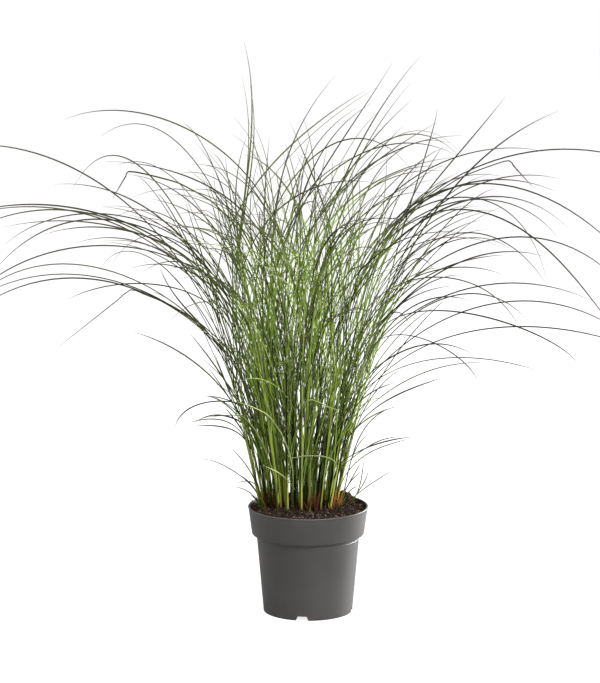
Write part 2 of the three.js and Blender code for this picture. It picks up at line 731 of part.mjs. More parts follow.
// One draw of a blade of a rank on a tiller: the outer tillers' blades arch outwards and reach far,
// and the inner ones' stay upright.
function drawBlade(tiller, order, attempt) {
  const draw = drawer(50000 + tiller.index * 1009 + order * 61 + attempt);
  const rank = RANKS[order];
  const share = rank.share + 0.07 * (draw() - 0.5);
  const root = stemPoint(tiller, share);
  const lean = mix(tiller.lean, tiller.leanTop, share);
  const ranked = tiller.rank + (order % 2 ? Math.PI : 0) + degrees(70) * (draw() - 0.5);
  const pull = tiller.outward * mix(0.5, 1.2, draw());
  const heading = atan2(
    sin(ranked) + OUTWARD_PULL * pull * sin(tiller.heading),
    cos(ranked) + OUTWARD_PULL * pull * cos(tiller.heading),
  );
  const depart = degrees(mix(...rank.depart, draw()));
  const start = lean * cos(heading - tiller.heading) + depart;
  const outside = tiller.outward * max(0, cos(heading - tiller.heading));
  const leastDroop = mix(...rank.droopLow, outside);
  const mostDroop = mix(...rank.droopHigh, outside);
  const droop = degrees(mix(leastDroop, mostDroop, draw()));
  const power = mix(1.3, 2.3, draw());
  const length = mix(...rank.length, draw()) * mix(INNER_LENGTH, OUTER_LENGTH, outside);
  const width = mix(...rank.width, draw());
  const roll = degrees(60) * (draw() - 0.5);
  const swerve = SWERVE * (2 * draw() - 1);
  const curve = archedCurve(root, heading, start, droop, power, length, swerve);
  return { curve, heading, width, roll };
}

function growDrawn(tiller, order, thicket) {
  for (let attempt = 0; attempt < TRIES; attempt++) {
    const blade = drawBlade(tiller, order, attempt);
    if (!withinReach(blade) || !withinOutline(blade)) continue;
    const balls = bladeBalls(blade, tiller.index);
    if (thicket.holds(balls)) continue;
    tiller.blades.push(blade);
    thicket.add(balls);
    return;
  }
}

// The blade that reaches furthest to the front or to the back, from the tiller that leans there most.
function growFurthest(sign, tillers, thicket) {
  const leans = [...tillers].sort(
    (a, b) => sign * b.outward * sin(b.heading) - sign * a.outward * sin(a.heading),
  );
  for (const tiller of leans)
    for (let attempt = 0; attempt < TRIES; attempt++) {
      const draw = drawer(90000 + attempt);
      const root = stemPoint(tiller, mix(0.7, 0.85, draw()));
      const heading = sign * degrees(mix(82, 98, draw()));
      const droop = degrees(mix(92, 102, draw()));
      const { length, width, power } = FURTHEST;
      const trial = archedCurve(root, heading, tiller.leanTop, droop, power, length, 0);
      const scale = (sign * REACH.y - root[1]) / (trial.at(-1)[1] - root[1]);
      const curve = archedCurve(root, heading, tiller.leanTop, droop, power, length * scale, 0);
      const blade = { curve, heading, width, roll: 0 };
      const balls = bladeBalls(blade, tiller.index);
      if (!withinReach(blade) || thicket.holds(balls)) continue;
      tiller.blades.push(blade);
      thicket.add(balls);
      return;
    }
}

// The whole clump: stems first, then the hand-laid blades, then the drawn ones until each tiller is full.
function growClump() {
  const thicket = new Thicket();
  const tillers = [];
  for (let index = 0; index < TILLERS; index++) {
    const tiller = tillerAt(index);
    tillers.push(tiller);
    const rings = stemRings(tiller);
    thicket.add(
      ballsAlong(rings.map(({ at }) => at), rings.map(({ halfWidth }) => halfWidth), index),
    );
  }
  const laid = [...LEFT_HIGH, ...LEFT_MIDDLE, ...LEFT_LOW, ...TOP, ...RIGHT_HIGH, ...RIGHT_MIDDLE];
  const rows = [
    ...[...laid, ...RIGHT_LOW].map((points) => ({ points, creased: false })),
    ...CREASED.map((points) => ({ points, creased: true })),
  ];
  rows.forEach(({ points, creased }, number) =>
    growHandLaid(points, creased, number, tillers, thicket),
  );
  growFurthest(-1, tillers, thicket);
  growFurthest(1, tillers, thicket);
  for (let order = RANKS.length - 1; order >= 0; order--)
    for (const tiller of tillers)
      if (tiller.blades.length < MOST_BLADES) growDrawn(tiller, order, thicket);
  return { tillers, thicket };
}

// A blade as a solid: three sides, flat above, with its midrib as a keel below.
function bladeSolid(blade) {
  const side = vec(-sin(blade.heading), cos(blade.heading), 0);
  const rings = keptPoints(blade).map(({ at, along, share }) => {
    const flat = unit(minus(side, plus([0, 0, 0], along, dot(side, along))));
    const up = cross(along, flat);
    const wide = plus(plus([0, 0, 0], flat, cos(blade.roll)), up, sin(blade.roll));
    // A three-sided ring of radius 1 is 2 cos 30 degrees wide and 1.5 deep.
    const halfWidth = halfWidthAt(blade, share) / cos(degrees(30));
    const halfDepth = (KEEL * min(1, 1.25 - share)) / 1.5;
    return { at, along, wide, halfWidth, halfDepth };
  });
  return spear(3, rings);
}

function tillerSolid(tiller) {
  const stem = spear(4, stemRings(tiller));
  const grown = tiller.blades.reduce((whole, blade) => whole.add(bladeSolid(blade)), stem);
  return grown.asOriginal().simplify(SMALLEST_EDGE);
}

// An old shoot's rings: a short, slightly bent stub that stands in the soil.
function oldShootRings({ x, y, height }, number) {
  const draw = drawer(700 + number);
  const heading = atan2(y - CROWN.y, x - CROWN.x);
  const lean = degrees(mix(6, 16, draw()));
  const along = leaning(lean, heading);
  const bentAlong = leaning(lean + SHOOT_BEND, heading);
  const base = vec(x, y, soilHeight(x, y));
  const knee = plus(base, along, SHOOT_KNEE);
  const wide = vec(-sin(heading), cos(heading), 0);
  const ring = (at, direction, thickness) => ({
    at,
    along: direction,
    wide,
    halfWidth: SHOOT_HALF_WIDTH * thickness,
    halfDepth: SHOOT_HALF_DEPTH * thickness,
  });
  return [
    ring(plus(base, along, -SHOOT_DEPTH), along, 1),
    ring(knee, along, 1),
    ring(plus(knee, bentAlong, 0.6 * height), bentAlong, 0.8),
    ring(plus(knee, bentAlong, height), bentAlong, 0),
  ];
}

// Stands an old shoot where it is clear of the stems, going round the crown and outwards if it has to.
function clearOldShoot(place, number, thicket) {
  const turn = atan2(place.y - CROWN.y, place.x - CROWN.x);
  for (let attempt = 0; attempt < TRIES; attempt++) {
    const side = attempt % 2 ? 1 : -1;
    const angle = turn + side * degrees(3) * ceil(attempt / 2);
    const radius = hypot(place.x - CROWN.x, place.y - CROWN.y) + attempt;
    const moved = {
      x: CROWN.x + radius * cos(angle),
      y: CROWN.y + radius * sin(angle),
      height: place.height,
    };
    const rings = oldShootRings(moved, number);
    const balls = ballsAlong(
      rings.map(({ at }) => at),
      rings.map(({ halfWidth }) => halfWidth),
      1000 + number,
    );
    if (thicket.holds(balls)) continue;
    thicket.add(balls);
    return rings;
  }
  throw new Error(`old shoot ${number} finds no room`);
}

const POT_PLASTIC = new THREE.MeshStandardMaterial({ color: 0x4b4a4c, roughness: 0.55, metalness: 0 });
const POTTING_SOIL = new THREE.MeshStandardMaterial({ color: 0x2c211b, roughness: 0.95, metalness: 0 });
const GRASS = new THREE.MeshStandardMaterial({ color: 0x6f9440, roughness: 0.5, metalness: 0 });
const DRY_SHEATH = new THREE.MeshStandardMaterial({ color: 0xb0713a, roughness: 0.7, metalness: 0 });

const { tillers, thicket } = growClump();
const oldShoots = OLD_SHOOTS.map((place, number) => clearOldShoot(place, number, thicket));
const holes = [...tillers.map(stemRings), ...oldShoots].map(holeFor);

const plant = new THREE.Group();
plant.add(namedMesh("pot", potSolid(), POT_PLASTIC));
plant.add(namedMesh("soil", soilSolid(holes), POTTING_SOIL));
tillers.forEach((tiller, index) => {
  const name = `tiller_${String(index + 1).padStart(2, "0")}`;
  plant.add(namedMesh(name, tillerSolid(tiller), GRASS));
});
oldShoots.forEach((rings, index) => {
  plant.add(namedMesh(`old_shoot_${index + 1}`, spear(4, rings), DRY_SHEATH));
});

export default plant;
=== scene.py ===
"""Gracillimus maiden grass in a plastic nursery pot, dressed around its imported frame.

The clump grows by the same rule as the frame's solids, worked out in millimetres, so each fine tiller lies
along the plain one that it replaces. Meshes are in metres. The front is at -Y and the ground at z = 0.
"""

from __future__ import annotations

import logging
import math
from collections.abc import Callable, Iterable, Sequence
from dataclasses import dataclass, field
from enum import Enum, IntEnum
from typing import Any

import bpy
import numpy as np
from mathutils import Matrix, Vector, noise

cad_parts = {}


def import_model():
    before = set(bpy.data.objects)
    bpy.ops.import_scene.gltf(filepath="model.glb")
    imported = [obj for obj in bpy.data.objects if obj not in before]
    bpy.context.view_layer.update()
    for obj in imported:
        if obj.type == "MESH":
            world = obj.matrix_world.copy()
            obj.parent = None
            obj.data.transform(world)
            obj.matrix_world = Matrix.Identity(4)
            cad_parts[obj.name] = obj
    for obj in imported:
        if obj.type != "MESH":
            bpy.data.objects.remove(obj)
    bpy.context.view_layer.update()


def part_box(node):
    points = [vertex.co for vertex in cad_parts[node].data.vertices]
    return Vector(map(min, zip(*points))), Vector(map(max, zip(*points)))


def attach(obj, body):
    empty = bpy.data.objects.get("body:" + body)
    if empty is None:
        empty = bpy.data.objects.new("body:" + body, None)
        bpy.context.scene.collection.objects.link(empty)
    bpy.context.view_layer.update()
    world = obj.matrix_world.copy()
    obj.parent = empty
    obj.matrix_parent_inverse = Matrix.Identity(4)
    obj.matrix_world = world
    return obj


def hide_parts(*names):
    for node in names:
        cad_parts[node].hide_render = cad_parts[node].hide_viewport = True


LOG = logging.getLogger("maiden_grass")
METRES = 0.001
LEAST_HALF = 0.08
Point = tuple[float, float, float]
Colour = tuple[float, float, float]
Pair = tuple[float, float]
Draw = Callable[[], float]
Settings = dict[Any, Any] | None


class Slot(Enum):
    """The record's material slots."""

    POT = "pot_plastic"
    SOIL = "potting_soil"
    GRASS = "grass"
    DRY = "dry_sheath"


class Seed(IntEnum):
    """Where the draws of each kind of thing start."""

    OLD_SHOOT = 700
    TILLER = 1000
    HAND_LAID = 20000
    DRAWN = 50000
    FURTHEST = 90000
    COMPANION = 110000
    LOOKS = 130000
    FINE = 150000
    SCALE = 160000
    SCRAP = 165000
    STEM = 170000
    WISP = 180000
    FIBRE = 190000
    BASAL = 210000
    SHEATH = 220000
    STRAY = 230000
    CROSSING = 240000
    YOUNG_SHOOT = 250000


def degrees(angle: float) -> float:
    """An angle in degrees as radians."""
    return angle * math.pi / 180


def plus(a: Point, b: Point, share: float = 1.0) -> Point:
    """Point a moved by a share of b."""
    return a[0] + b[0] * share, a[1] + b[1] * share, a[2] + b[2] * share


def times(a: Point, share: float) -> Point:
    """A direction at a share of its length."""
    return a[0] * share, a[1] * share, a[2] * share


def scaled(point: Point) -> Point:
    """A point or direction in millimetres, in metres."""
    return times(point, METRES)


def minus(a: Point, b: Point) -> Point:
    """The way from point b to point a."""
    return plus(a, b, -1)


def dot(a: Point, b: Point) -> float:
    """The dot product of two directions."""
    return a[0] * b[0] + a[1] * b[1] + a[2] * b[2]


def cross(a: Point, b: Point) -> Point:
    """The cross product of two directions."""
    return a[1] * b[2] - a[2] * b[1], a[2] * b[0] - a[0] * b[2], a[0] * b[1] - a[1] * b[0]


def size(a: Point) -> float:
    """The length of a direction."""
    return math.sqrt(dot(a, a))


def unit(a: Point) -> Point:
    """A direction at length 1."""
    return times(a, 1 / size(a))


def angle_between(a: Point, b: Point) -> float:
    """The angle between two directions."""
    return math.acos(min(1, max(-1, dot(unit(a), unit(b)))))


def mix(low: float, high: float, share: float) -> float:
    """The value at a share of the way from low to high."""
    return low + (high - low) * share


def leaning(lean: float, heading: float) -> Point:
    """A direction that leans from upright towards a heading."""
    return math.sin(lean) * math.cos(heading), math.sin(lean) * math.sin(heading), math.cos(lean)


def sideways(heading: float) -> Point:
    """The level direction to the left of a heading."""
    return -math.sin(heading), math.cos(heading), 0.0


def heading_to(a: Point, b: Point) -> float:
    """The level heading from point a to point b."""
    return math.atan2(b[1] - a[1], b[0] - a[0])


def square_to(a: Point, along: Point) -> Point:
    """The direction nearest to a that is square to another."""
    return unit(minus(a, times(along, dot(a, along))))


def drawer(seed: int) -> Draw:
    """A repeatable draw of numbers from 0 to 1.

    Args:
        seed: the whole number that the draw starts from.

    Returns:
        A function that gives the next number at each call.
    """
    word, stride = 0xFFFFFFFF, 0x6D2B79F5
    state = seed & word

    def draw() -> float:
        nonlocal state
        state = (state + stride) & word
        mixed = ((state ^ (state >> 15)) * (1 | state)) & word
        mixed = ((mixed + (((mixed ^ (mixed >> 7)) * (61 | mixed)) & word)) ^ mixed) & word
        return ((mixed ^ (mixed >> 14)) & word) / (word + 1)

    return draw


def seed_for(kind: Seed, tiller: int, number: int) -> int:
    """Where the draws of a tiller's blade of some kind and number start."""
    return kind + tiller * 1013 + number * 67


# The long blades that shape the clump, laid out as a viewer in front sees them, in the plane
# through the pot's middle: two to four points (x, z) from the root side to the tip, in millimetres.
LEFT_HIGH = [
    [(-100, 702), (-308, 799), (-378, 785)],
    [(-130, 640), (-268, 778), (-323, 758)],
    [(-200, 560), (-400, 724), (-590, 738)],
    [(-180, 595), (-322, 725), (-367, 675)],
    [(-155, 680), (-250, 713), (-315, 719)],
    [(-160, 550), (-300, 670), (-395, 683)],
    [(-150, 520), (-350, 643), (-560, 625)],
    [(-220, 572), (-400, 646), (-540, 630)],
    [(-210, 570), (-385, 643), (-570, 580)],
    [(-190, 590), (-330, 637), (-478, 584)],
    [(-180, 570), (-335, 628), (-500, 535)],
    [(-250, 600), (-410, 625), (-478, 615)],
    [(-200, 575), (-340, 616), (-415, 603)],
]
LEFT_MIDDLE = [
    [(-200, 560), (-305, 599), (-370, 588)],
    [(-170, 545), (-305, 586), (-560, 462)],
    [(-202, 489), (-350, 555), (-560, 460)],
    [(-202, 483), (-378, 541), (-560, 474)],
    [(-190, 472), (-375, 535), (-560, 450)],
    [(-150, 490), (-260, 526), (-378, 500)],
    [(-120, 500), (-200, 560), (-260, 543)],
    [(-130, 500), (-200, 551), (-280, 549)],
    [(-150, 440), (-200, 497), (-231, 552)],
    [(-165, 570), (-193, 663)],
]
LEFT_LOW = [
    [(-95, 280), (-150, 375), (-277, 450)],
    [(-130, 370), (-188, 450)],
    [(-115, 335), (-170, 347)],
    [(-50, 290), (-120, 337), (-210, 293)],
    [(-105, 287), (-190, 303)],
    [(-92, 262), (-182, 298)],
    [(-103, 289), (-133, 331)],
    [(-100, 300), (-146, 316), (-178, 304)],
]
TOP = [
    [(-107, 600), (-87, 790), (-99, 906)],
    [(-99, 640), (-84, 760), (-90, 840)],
    [(-108, 590), (-112, 680), (-95, 760)],
    [(-60, 650), (-85, 745), (-115, 788)],
    [(-118, 640), (-130, 735)],
    [(-125, 640), (-145, 705), (-173, 747)],
    [(-68, 650), (-60, 757)],
    [(-50, 650), (-25, 745), (42, 853)],
    [(-100, 655), (0, 768), (87, 829)],
    [(-50, 640), (-30, 740)],
    [(30, 630), (0, 715), (-28, 780)],
    [(0, 665), (50, 748), (130, 873)],
    [(40, 650), (85, 755), (172, 882)],
    [(40, 660), (100, 753), (160, 815)],
    [(25, 640), (100, 714), (200, 780)],
    [(95, 715), (148, 775)],
    [(0, 690), (50, 772), (98, 810)],
]
RIGHT_HIGH = [
    [(-15, 702), (70, 755), (160, 707)],
    [(60, 700), (145, 760), (235, 727)],
    [(50, 712), (160, 748), (232, 728)],
    [(75, 697), (150, 742), (240, 760)],
    [(75, 667), (137, 703), (225, 725)],
    [(200, 690), (255, 757), (305, 820)],
    [(175, 605), (300, 748), (388, 798)],
    [(150, 683), (325, 740), (365, 735)],
    [(200, 675), (370, 737), (590, 680)],
    [(150, 640), (265, 684), (394, 650), (520, 541)],
    [(170, 650), (280, 690), (385, 672)],
    [(180, 630), (300, 693), (390, 692)],
    [(170, 620), (285, 664), (405, 615)],
    [(140, 610), (245, 658), (390, 598)],
]
RIGHT_MIDDLE = [
    [(130, 600), (225, 643), (361, 591), (500, 432)],
    [(120, 610), (215, 660), (375, 525)],
    [(200, 560), (325, 600), (520, 488)],
    [(150, 562), (225, 604), (375, 522)],
    [(200, 540), (320, 577), (373, 568)],
    [(200, 545), (310, 572)],
    [(140, 520), (235, 552), (303, 541)],
    [(200, 500), (320, 527), (450, 496)],
    [(110, 505), (165, 532), (335, 447)],
    [(150, 465), (240, 509), (345, 466)],
    [(120, 450), (212, 505), (250, 500)],
    [(180, 450), (310, 497), (540, 408)],
    [(120, 460), (210, 483), (425, 394)],
    [(175, 422), (360, 457), (560, 402)],
    [(100, 385), (160, 423), (263, 410)],
    [(105, 370), (240, 408), (368, 385)],
]
RIGHT_LOW = [
    [(125, 353), (200, 390), (282, 400)],
    [(85, 307), (150, 353), (213, 377)],
    [(110, 435), (200, 430), (268, 366)],
    [(90, 345), (140, 369)],
    [(85, 303), (137, 329)],
    [(74, 250), (100, 268), (143, 280)],
    [(82, 258), (114, 271), (168, 281)],
]
HAND_LAID = [*LEFT_HIGH, *LEFT_MIDDLE, *LEFT_LOW, *TOP, *RIGHT_HIGH, *RIGHT_MIDDLE, *RIGHT_LOW]
# A few blades are creased and hang straight from the crease, their second point.
CREASED = [
    [(-150, 655), (-279, 703), (-305, 660)],
    [(-160, 455), (-278, 516), (-399, 419)],
    [(180, 655), (312, 720), (353, 675)],
]
# Pale blades that stray across the front of the clump, many points each, as (x, z) in the same plane.
STRAYS = [
    [(-49, 487), (-41, 540), (-27, 564), (-16, 572), (-28, 570), (-39, 564), (-55, 543), (-78, 527)],
    [(-44, 500), (-55, 540), (-67, 551), (-88, 569), (-107, 578)],
    [(-56, 444), (-60, 463), (-67, 468), (-77, 465)],
    [(-70, 430), (-80, 452), (-96, 460), (-111, 471)],
    [(-24, 182), (-25, 231), (-36, 273), (-49, 297), (-64, 316), (-88, 329), (-111, 337)],
    [(-44, 249), (-24, 247), (-2, 250), (22, 249), (38, 244), (47, 233)],
    [(-17, 193), (-31, 209), (-47, 223), (-67, 233)],
    [(-14, 320), (0, 340), (16, 337), (31, 329), (47, 324)],
    [(-76, 540), (-88, 562), (-102, 575), (-130, 585), (-170, 591), (-210, 601)],
]
# Wisps that grow straight from the soil, beside the rim or in a gap between the stems: where each starts
# (x, y), and its points (x, z).
WISPS = [
    ((-74, 6), [(-88, 187), (-117, 200)]),
    ((-72, -4), [(-90, 208), (-115, 205)]),
    ((-72, 18), [(-84, 196), (-105, 218)]),
    ((-70, 8), [(-90, 222), (-122, 263)]),
    ((-78, 12), [(-86, 176), (-93, 180)]),
    ((-74, -8), [(-82, 178), (-92, 188)]),
    ((-68, -14), [(-74, 180), (-82, 186)]),
    ((-76, 0), [(-88, 200), (-107, 218), (-138, 237), (-171, 245)]),
    ((50, 24), [(65, 205), (85, 226)]),
    ((50, 32), [(62, 200), (84, 240)]),
    ((52, 6), [(75, 186), (100, 205), (135, 228)]),
    ((60, 20), [(74, 183), (84, 212), (88, 244)]),
    ((64, 26), [(78, 190), (90, 210), (96, 228)]),
    ((54, 16), [(66, 193), (80, 202)]),
    ((46, 4), [(64, 226), (89, 250), (121, 266), (165, 280)]),
    ((50, 12), [(66, 235), (83, 273), (99, 289)]),
    ((50, 6), [(70, 250), (92, 298), (138, 330)]),
    ((-28, 44), [(-28, 205), (-27, 250), (-24, 300)]),
    ((-25, 50), [(-26, 200), (-28, 245), (-34, 290)]),
]
# Dry scraps that stand loose in the soil: where (x, y), how tall, and how far and which way they lean.
SCRAPS = [
    (-80, -6, 15, 30, 200),
    (-77, 8, 18, 18, 150),
    (-70, -14, 14, 40, 230),
    (-66, 2, 20, 12, 170),
    (-72, 18, 22, 25, 140),
    (50, -4, 20, 30, 20),
    (58, 8, 22, 45, 350),
    (46, -16, 15, 55, 300),
    (62, 24, 18, 35, 40),
]
# At each height, how far the clump goes to the left and to the right, as seen from the front.
OUTLINE = [
    (170, -105, 95),
    (220, -150, 130),
    (300, -165, 150),
    (400, -190, 185),
    (500, -235, 225),
    (600, -330, 320),
    (700, -320, 320),
    (760, -170, 220),
    (800, -90, 140),
]


@dataclass(frozen=True)
class PotSizes:
    """The pot's sizes in millimetres, as in the frame."""

    height: float = 170
    wall: float = 2
    foot_radius: float = 70.6
    shoulder_radius: float = 81.3
    shoulder_height: float = 122
    band_height: float = 43
    band_foot_radius: float = 89
    rim_radius: float = 95
    lip_width: float = 2.8
    floor_underside: float = 8
    foot_width: float = 3.4
    notches: int = 4
    notch_turn: float = degrees(-7.7)
    notch_foot: float = 21
    notch_top: float = 14
    notch_height: float = 7
    drains: int = 6
    drain_radius: float = 6
    drain_circle: float = 48
    gap: float = 0.3

    @property
    def band_foot(self) -> float:
        """The height of the rim band's lower edge."""
        return self.height - self.band_height


@dataclass(frozen=True)
class Rank:
    """The blades that leave a stem at one share of its height.

    The rank gives their lengths, the angles they leave at, their widths, and how far their tips bow down:
    at least and at most, each in the middle of the crown and at its edge.
    """

    share: float
    length: Pair
    depart: Pair
    width: Pair = (3.1, 3.9)
    droop_low: Pair = (42, 84)
    droop_high: Pair = (104, 130)


@dataclass
class Blade:
    """A blade's centre line in millimetres, and how it is turned and finished."""

    curve: list[Point]
    heading: float
    width: float
    roll: float
    tone: float = 1.0
    twist: float = 0.0
    pale: float = 0.0


@dataclass
class Tiller:
    """A stem: where it stands in the crown, how it leans, and its blades."""

    index: int
    outward: float
    heading: float
    lean: float
    lean_top: float
    height: float
    rank: float
    base: Point
    straight: float
    blades: list[Blade] = field(default_factory=list)
    shares: list[float] = field(default_factory=list)
    hand_laid: int = 0

    def direction(self, share: float) -> Point:
        """The stem's direction at a share of its height, above its straight foot."""
        bent = max(0, share * self.height - self.straight) / (self.height - self.straight)
        return leaning(mix(self.lean, self.lean_top, bent), self.heading)

    def point(self, share: float) -> Point:
        """The stem's place at a share of its height."""
        steps = 12
        point = self.base
        for i in range(steps):
            along = self.direction(share * (i + 0.5) / steps)
            point = plus(point, along, share * self.height / steps)
        return point


@dataclass(frozen=True)
class Ball:
    """A ball of space that a stretch of stem or blade takes up."""

    at: Point
    radius: float
    owner: int
    run: float


class Thicket:
    """What is placed already, as balls along each stem and blade, kept by the cube of space they lie in."""

    cube = 9
    blade_gap = 0.45
    ball_spacing = 5
    root_run = 55

    def __init__(self) -> None:
        """Starts empty."""
        self.cubes: dict[tuple[int, int, int], list[Ball]] = {}

    def key(self, at: Point) -> tuple[int, int, int]:
        """The cube that a point lies in."""
        return tuple(math.floor(value / self.cube) for value in at)

    def add(self, balls: Iterable[Ball]) -> None:
        """Keeps some balls."""
        for ball in balls:
            self.cubes.setdefault(self.key(ball.at), []).append(ball)

    def touches(self, ball: Ball) -> bool:
        """Whether a ball is too near one that is placed; a tiller's own parts may touch near a root."""
        i, j, k = self.key(ball.at)
        for a in (i - 1, i, i + 1):
            for b in (j - 1, j, j + 1):
                for c in (k - 1, k, k + 1):
                    for other in self.cubes.get((a, b, c), ()):
                        if other.owner == ball.owner and ball.run < self.root_run:
                            continue
                        apart = minus(ball.at, other.at)
                        least = ball.radius + other.radius + self.blade_gap
                        if dot(apart, apart) < least * least + self.ball_spacing**2 / 2:
                            return True
        return False

    def holds(self, balls: Iterable[Ball]) -> bool:
        """Whether any of some balls is too near one that is placed."""
        return any(self.touches(ball) for ball in balls)

    def balls_along(self, points: Sequence[Point], radii: Sequence[float], owner: int) -> list[Ball]:
        """Balls along the straight segments between some points, each as wide as the piece is there."""
        balls = []
        run = 0.0
        for i in range(len(points) - 1):
            way = minus(points[i + 1], points[i])
            length = size(way)
            count = math.ceil(length / self.ball_spacing)
            for j in range(count):
                share = (j + 0.5) / count
                radius = mix(radii[i], radii[i + 1], share)
                balls.append(Ball(plus(points[i], way, share), radius, owner, run + length * share))
            run += length
        return balls


@dataclass
class Clump:
    """The crown of tillers, grown by the frame's own rule, with finer blades added between them."""

    tillers: int = 44
    crown: Pair = (-13, 21)
    crown_half: Pair = (64, 44)
    heap: tuple[float, float, float, float] = (54, 50, 17, 380)
    golden_angle: float = degrees(137.508)
    lean_at_soil: float = degrees(11)
    lean_at_top: float = degrees(20)
    root_jitter: float = 5
    heading_jitter: float = degrees(40)
    stem_height: Pair = (215, 290)
    stem_depth: float = 38
    stem_straight: float = 26
    stem_half_width: float = 2.9
    stem_half_depth: float = 2.3
    soil_level: float = 165
    curve_steps: int = 20
    short_blade: float = 330
    long_blade: float = 500
    lowest_blade: float = 181
    reach: Pair = (590, 560)
    viewer: Point = (-12.7, -6000, 1610)
    stem_shares: tuple[float, ...] = (0.3, 0.42, 0.54, 0.66, 0.76, 0.84)
    steepest_slope: float = 0.5
    homes_tried: int = 40
    slopes_tried: int = 13
    slope_step: float = 0.035
    longest_hand_laid: float = 520
    most_blades: int = 8
    tries: int = 36
    basal_blades: int = 3
    crossing_blades: int = 3
    inner_outline: float = 0.66
    widest_companion: float = 240
    fine_outline: float = 0.8
    arching: float = 180
    low_tips: float = 400
    hand_laid_twist: Pair = (75, 130)
    drawn_twist: Pair = (40, 110)
    paler_from: float = 0.9
    fine_orders: tuple[int, ...] = (2, 4)
    fine_width: float = 0.72
    swerve: float = degrees(40)
    ranks: tuple[Rank, ...] = (
        Rank(0.2, (150, 250), (10, 20), (2.8, 3.3), (22, 22), (80, 80)),
        Rank(0.36, (240, 360), (7, 15), (2.8, 3.3), (22, 22), (80, 80)),
        Rank(0.5, (330, 450), (5, 14)),
        Rank(0.63, (400, 520), (4, 14)),
        Rank(0.74, (410, 540), (3, 12)),
        Rank(0.82, (410, 560), (2, 10)),
    )

    def __post_init__(self) -> None:
        """Makes room for the tillers."""
        self.thicket = Thicket()
        self.grown: list[Tiller] = []

    def soil_height(self, x: float, y: float) -> float:
        """The height of the soil's top: bumpy, heaped at the back right, sinking to its edge."""
        heap_x, heap_y, height, spread = self.heap
        heap = height * math.exp(-((x - heap_x) ** 2 + (y - heap_y) ** 2) / spread)
        bumps = 1.4 * math.sin(x / 9 + 1) * math.cos(y / 8) + 1.1 * math.sin((x + 2 * y) / 13)
        edge = -2.2 * (math.hypot(x, y) / 88) ** 4
        return self.soil_level + heap + bumps + edge

    def tiller_at(self, index: int) -> Tiller:
        """A tiller by its place in the crown."""
        draw = drawer(Seed.TILLER + index)
        (middle_x, middle_y), (across, deep) = self.crown, self.crown_half
        outward = math.sqrt((index + 0.5) / self.tillers)
        turn = index * self.golden_angle
        x = middle_x + across * outward * math.cos(turn) + self.root_jitter * (draw() - 0.5)
        y = middle_y + deep * outward * math.sin(turn) + self.root_jitter * (draw() - 0.5)
        heading = turn + self.heading_jitter * (draw() - 0.5)
        lean = self.lean_at_soil * outward * mix(0.8, 1.15, draw())
        lean_top = self.lean_at_top * outward * mix(0.8, 1.12, draw())
        height = mix(*self.stem_height, draw())
        rank = heading + degrees(90) * draw()
        base = (x, y, self.soil_height(x, y))
        return Tiller(index, outward, heading, lean, lean_top, height, rank, base, self.stem_straight)

    def stem_rings(self, tiller: Tiller) -> list[tuple[Point, float]]:
        """The places of a plain stem's rings and its half width at each."""
        foot = plus(tiller.base, tiller.direction(0), -self.stem_depth)
        shares = [self.stem_straight / tiller.height, 0.5, 0.86, 1]
        rings = [
            (tiller.point(share), self.stem_half_width * thickness)
            for share, thickness in zip(shares, [0.95, 0.75, 0.55, 0])
        ]
        return [(foot, self.stem_half_width), *rings]

    def half_width(self, blade: Blade, share: float) -> float:
        """A blade's half width at a share of its length: narrow at the root, pointed at the tip."""
        return 0.5 * blade.width * min(1, 0.45 + 2.2 * share) * (1 - share**3)

    def leaf_half_width(self, blade: Blade, share: float) -> float:
        """A finished leaf's half width: slim at the root, widest past its middle, pointed at the tip."""
        return 0.4 * blade.width * min(1, 0.5 + 0.9 * share) * (1 - 0.1 * share) * (1 - share**9)

    def balls(self, blade: Blade, owner: int) -> list[Ball]:
        """The room that a blade's plain solid takes up."""
        reach = size(minus(blade.curve[-1], blade.curve[0]))
        segments = 4 if reach < self.short_blade else 6 if reach > self.long_blade else 5
        steps = [round(self.curve_steps * (i / segments) ** 0.75) for i in range(segments + 1)]
        radii = [self.half_width(blade, step / self.curve_steps) + 0.1 for step in steps]
        return self.thicket.balls_along([blade.curve[step] for step in steps], radii, owner)

    def within_reach(self, blade: Blade) -> bool:
        """Whether a blade stays over the pot's rim and inside the clump's reach."""
        far_x, far_y = self.reach
        return all(
            z > self.lowest_blade and abs(x) < far_x + 1 and abs(y) < far_y + 1
            for x, y, z in blade.curve
        )

    def within_outline(self, blade: Blade, narrow: float = 1.0) -> bool:
        """Whether a blade stays inside the clump's outline, or a narrower one, as seen from the front."""
        return all(self._inside(x / narrow, z) for x, _, z in blade.curve)

    def _inside(self, x: float, z: float) -> bool:
        """Whether a point is inside the outline."""
        above = next((i for i, row in enumerate(OUTLINE) if row[0] > z), -1)
        if above < 0:
            return False
        if above == 0:
            return OUTLINE[0][1] < x < OUTLINE[0][2]
        low, high = OUTLINE[above - 1], OUTLINE[above]
        share = (z - low[0]) / (high[0] - low[0])
        return mix(low[1], high[1], share) < x < mix(low[2], high[2], share)

    def curve_through(self, points: Sequence[Point]) -> list[Point]:
        """A smooth curve through some points, spaced as their straight distances say."""
        knots = [0.0]
        for i in range(1, len(points)):
            knots.append(knots[-1] + size(minus(points[i], points[i - 1])))
        curve = []
        for step in range(self.curve_steps + 1):
            at = knots[-1] * step / self.curve_steps
            point: Point = (0.0, 0.0, 0.0)
            for i, node in enumerate(points):
                weight = 1.0
                for j, knot in enumerate(knots):
                    if j != i:
                        weight *= (at - knot) / (knots[i] - knot)
                point = plus(point, node, weight)
            curve.append(point)
        return curve

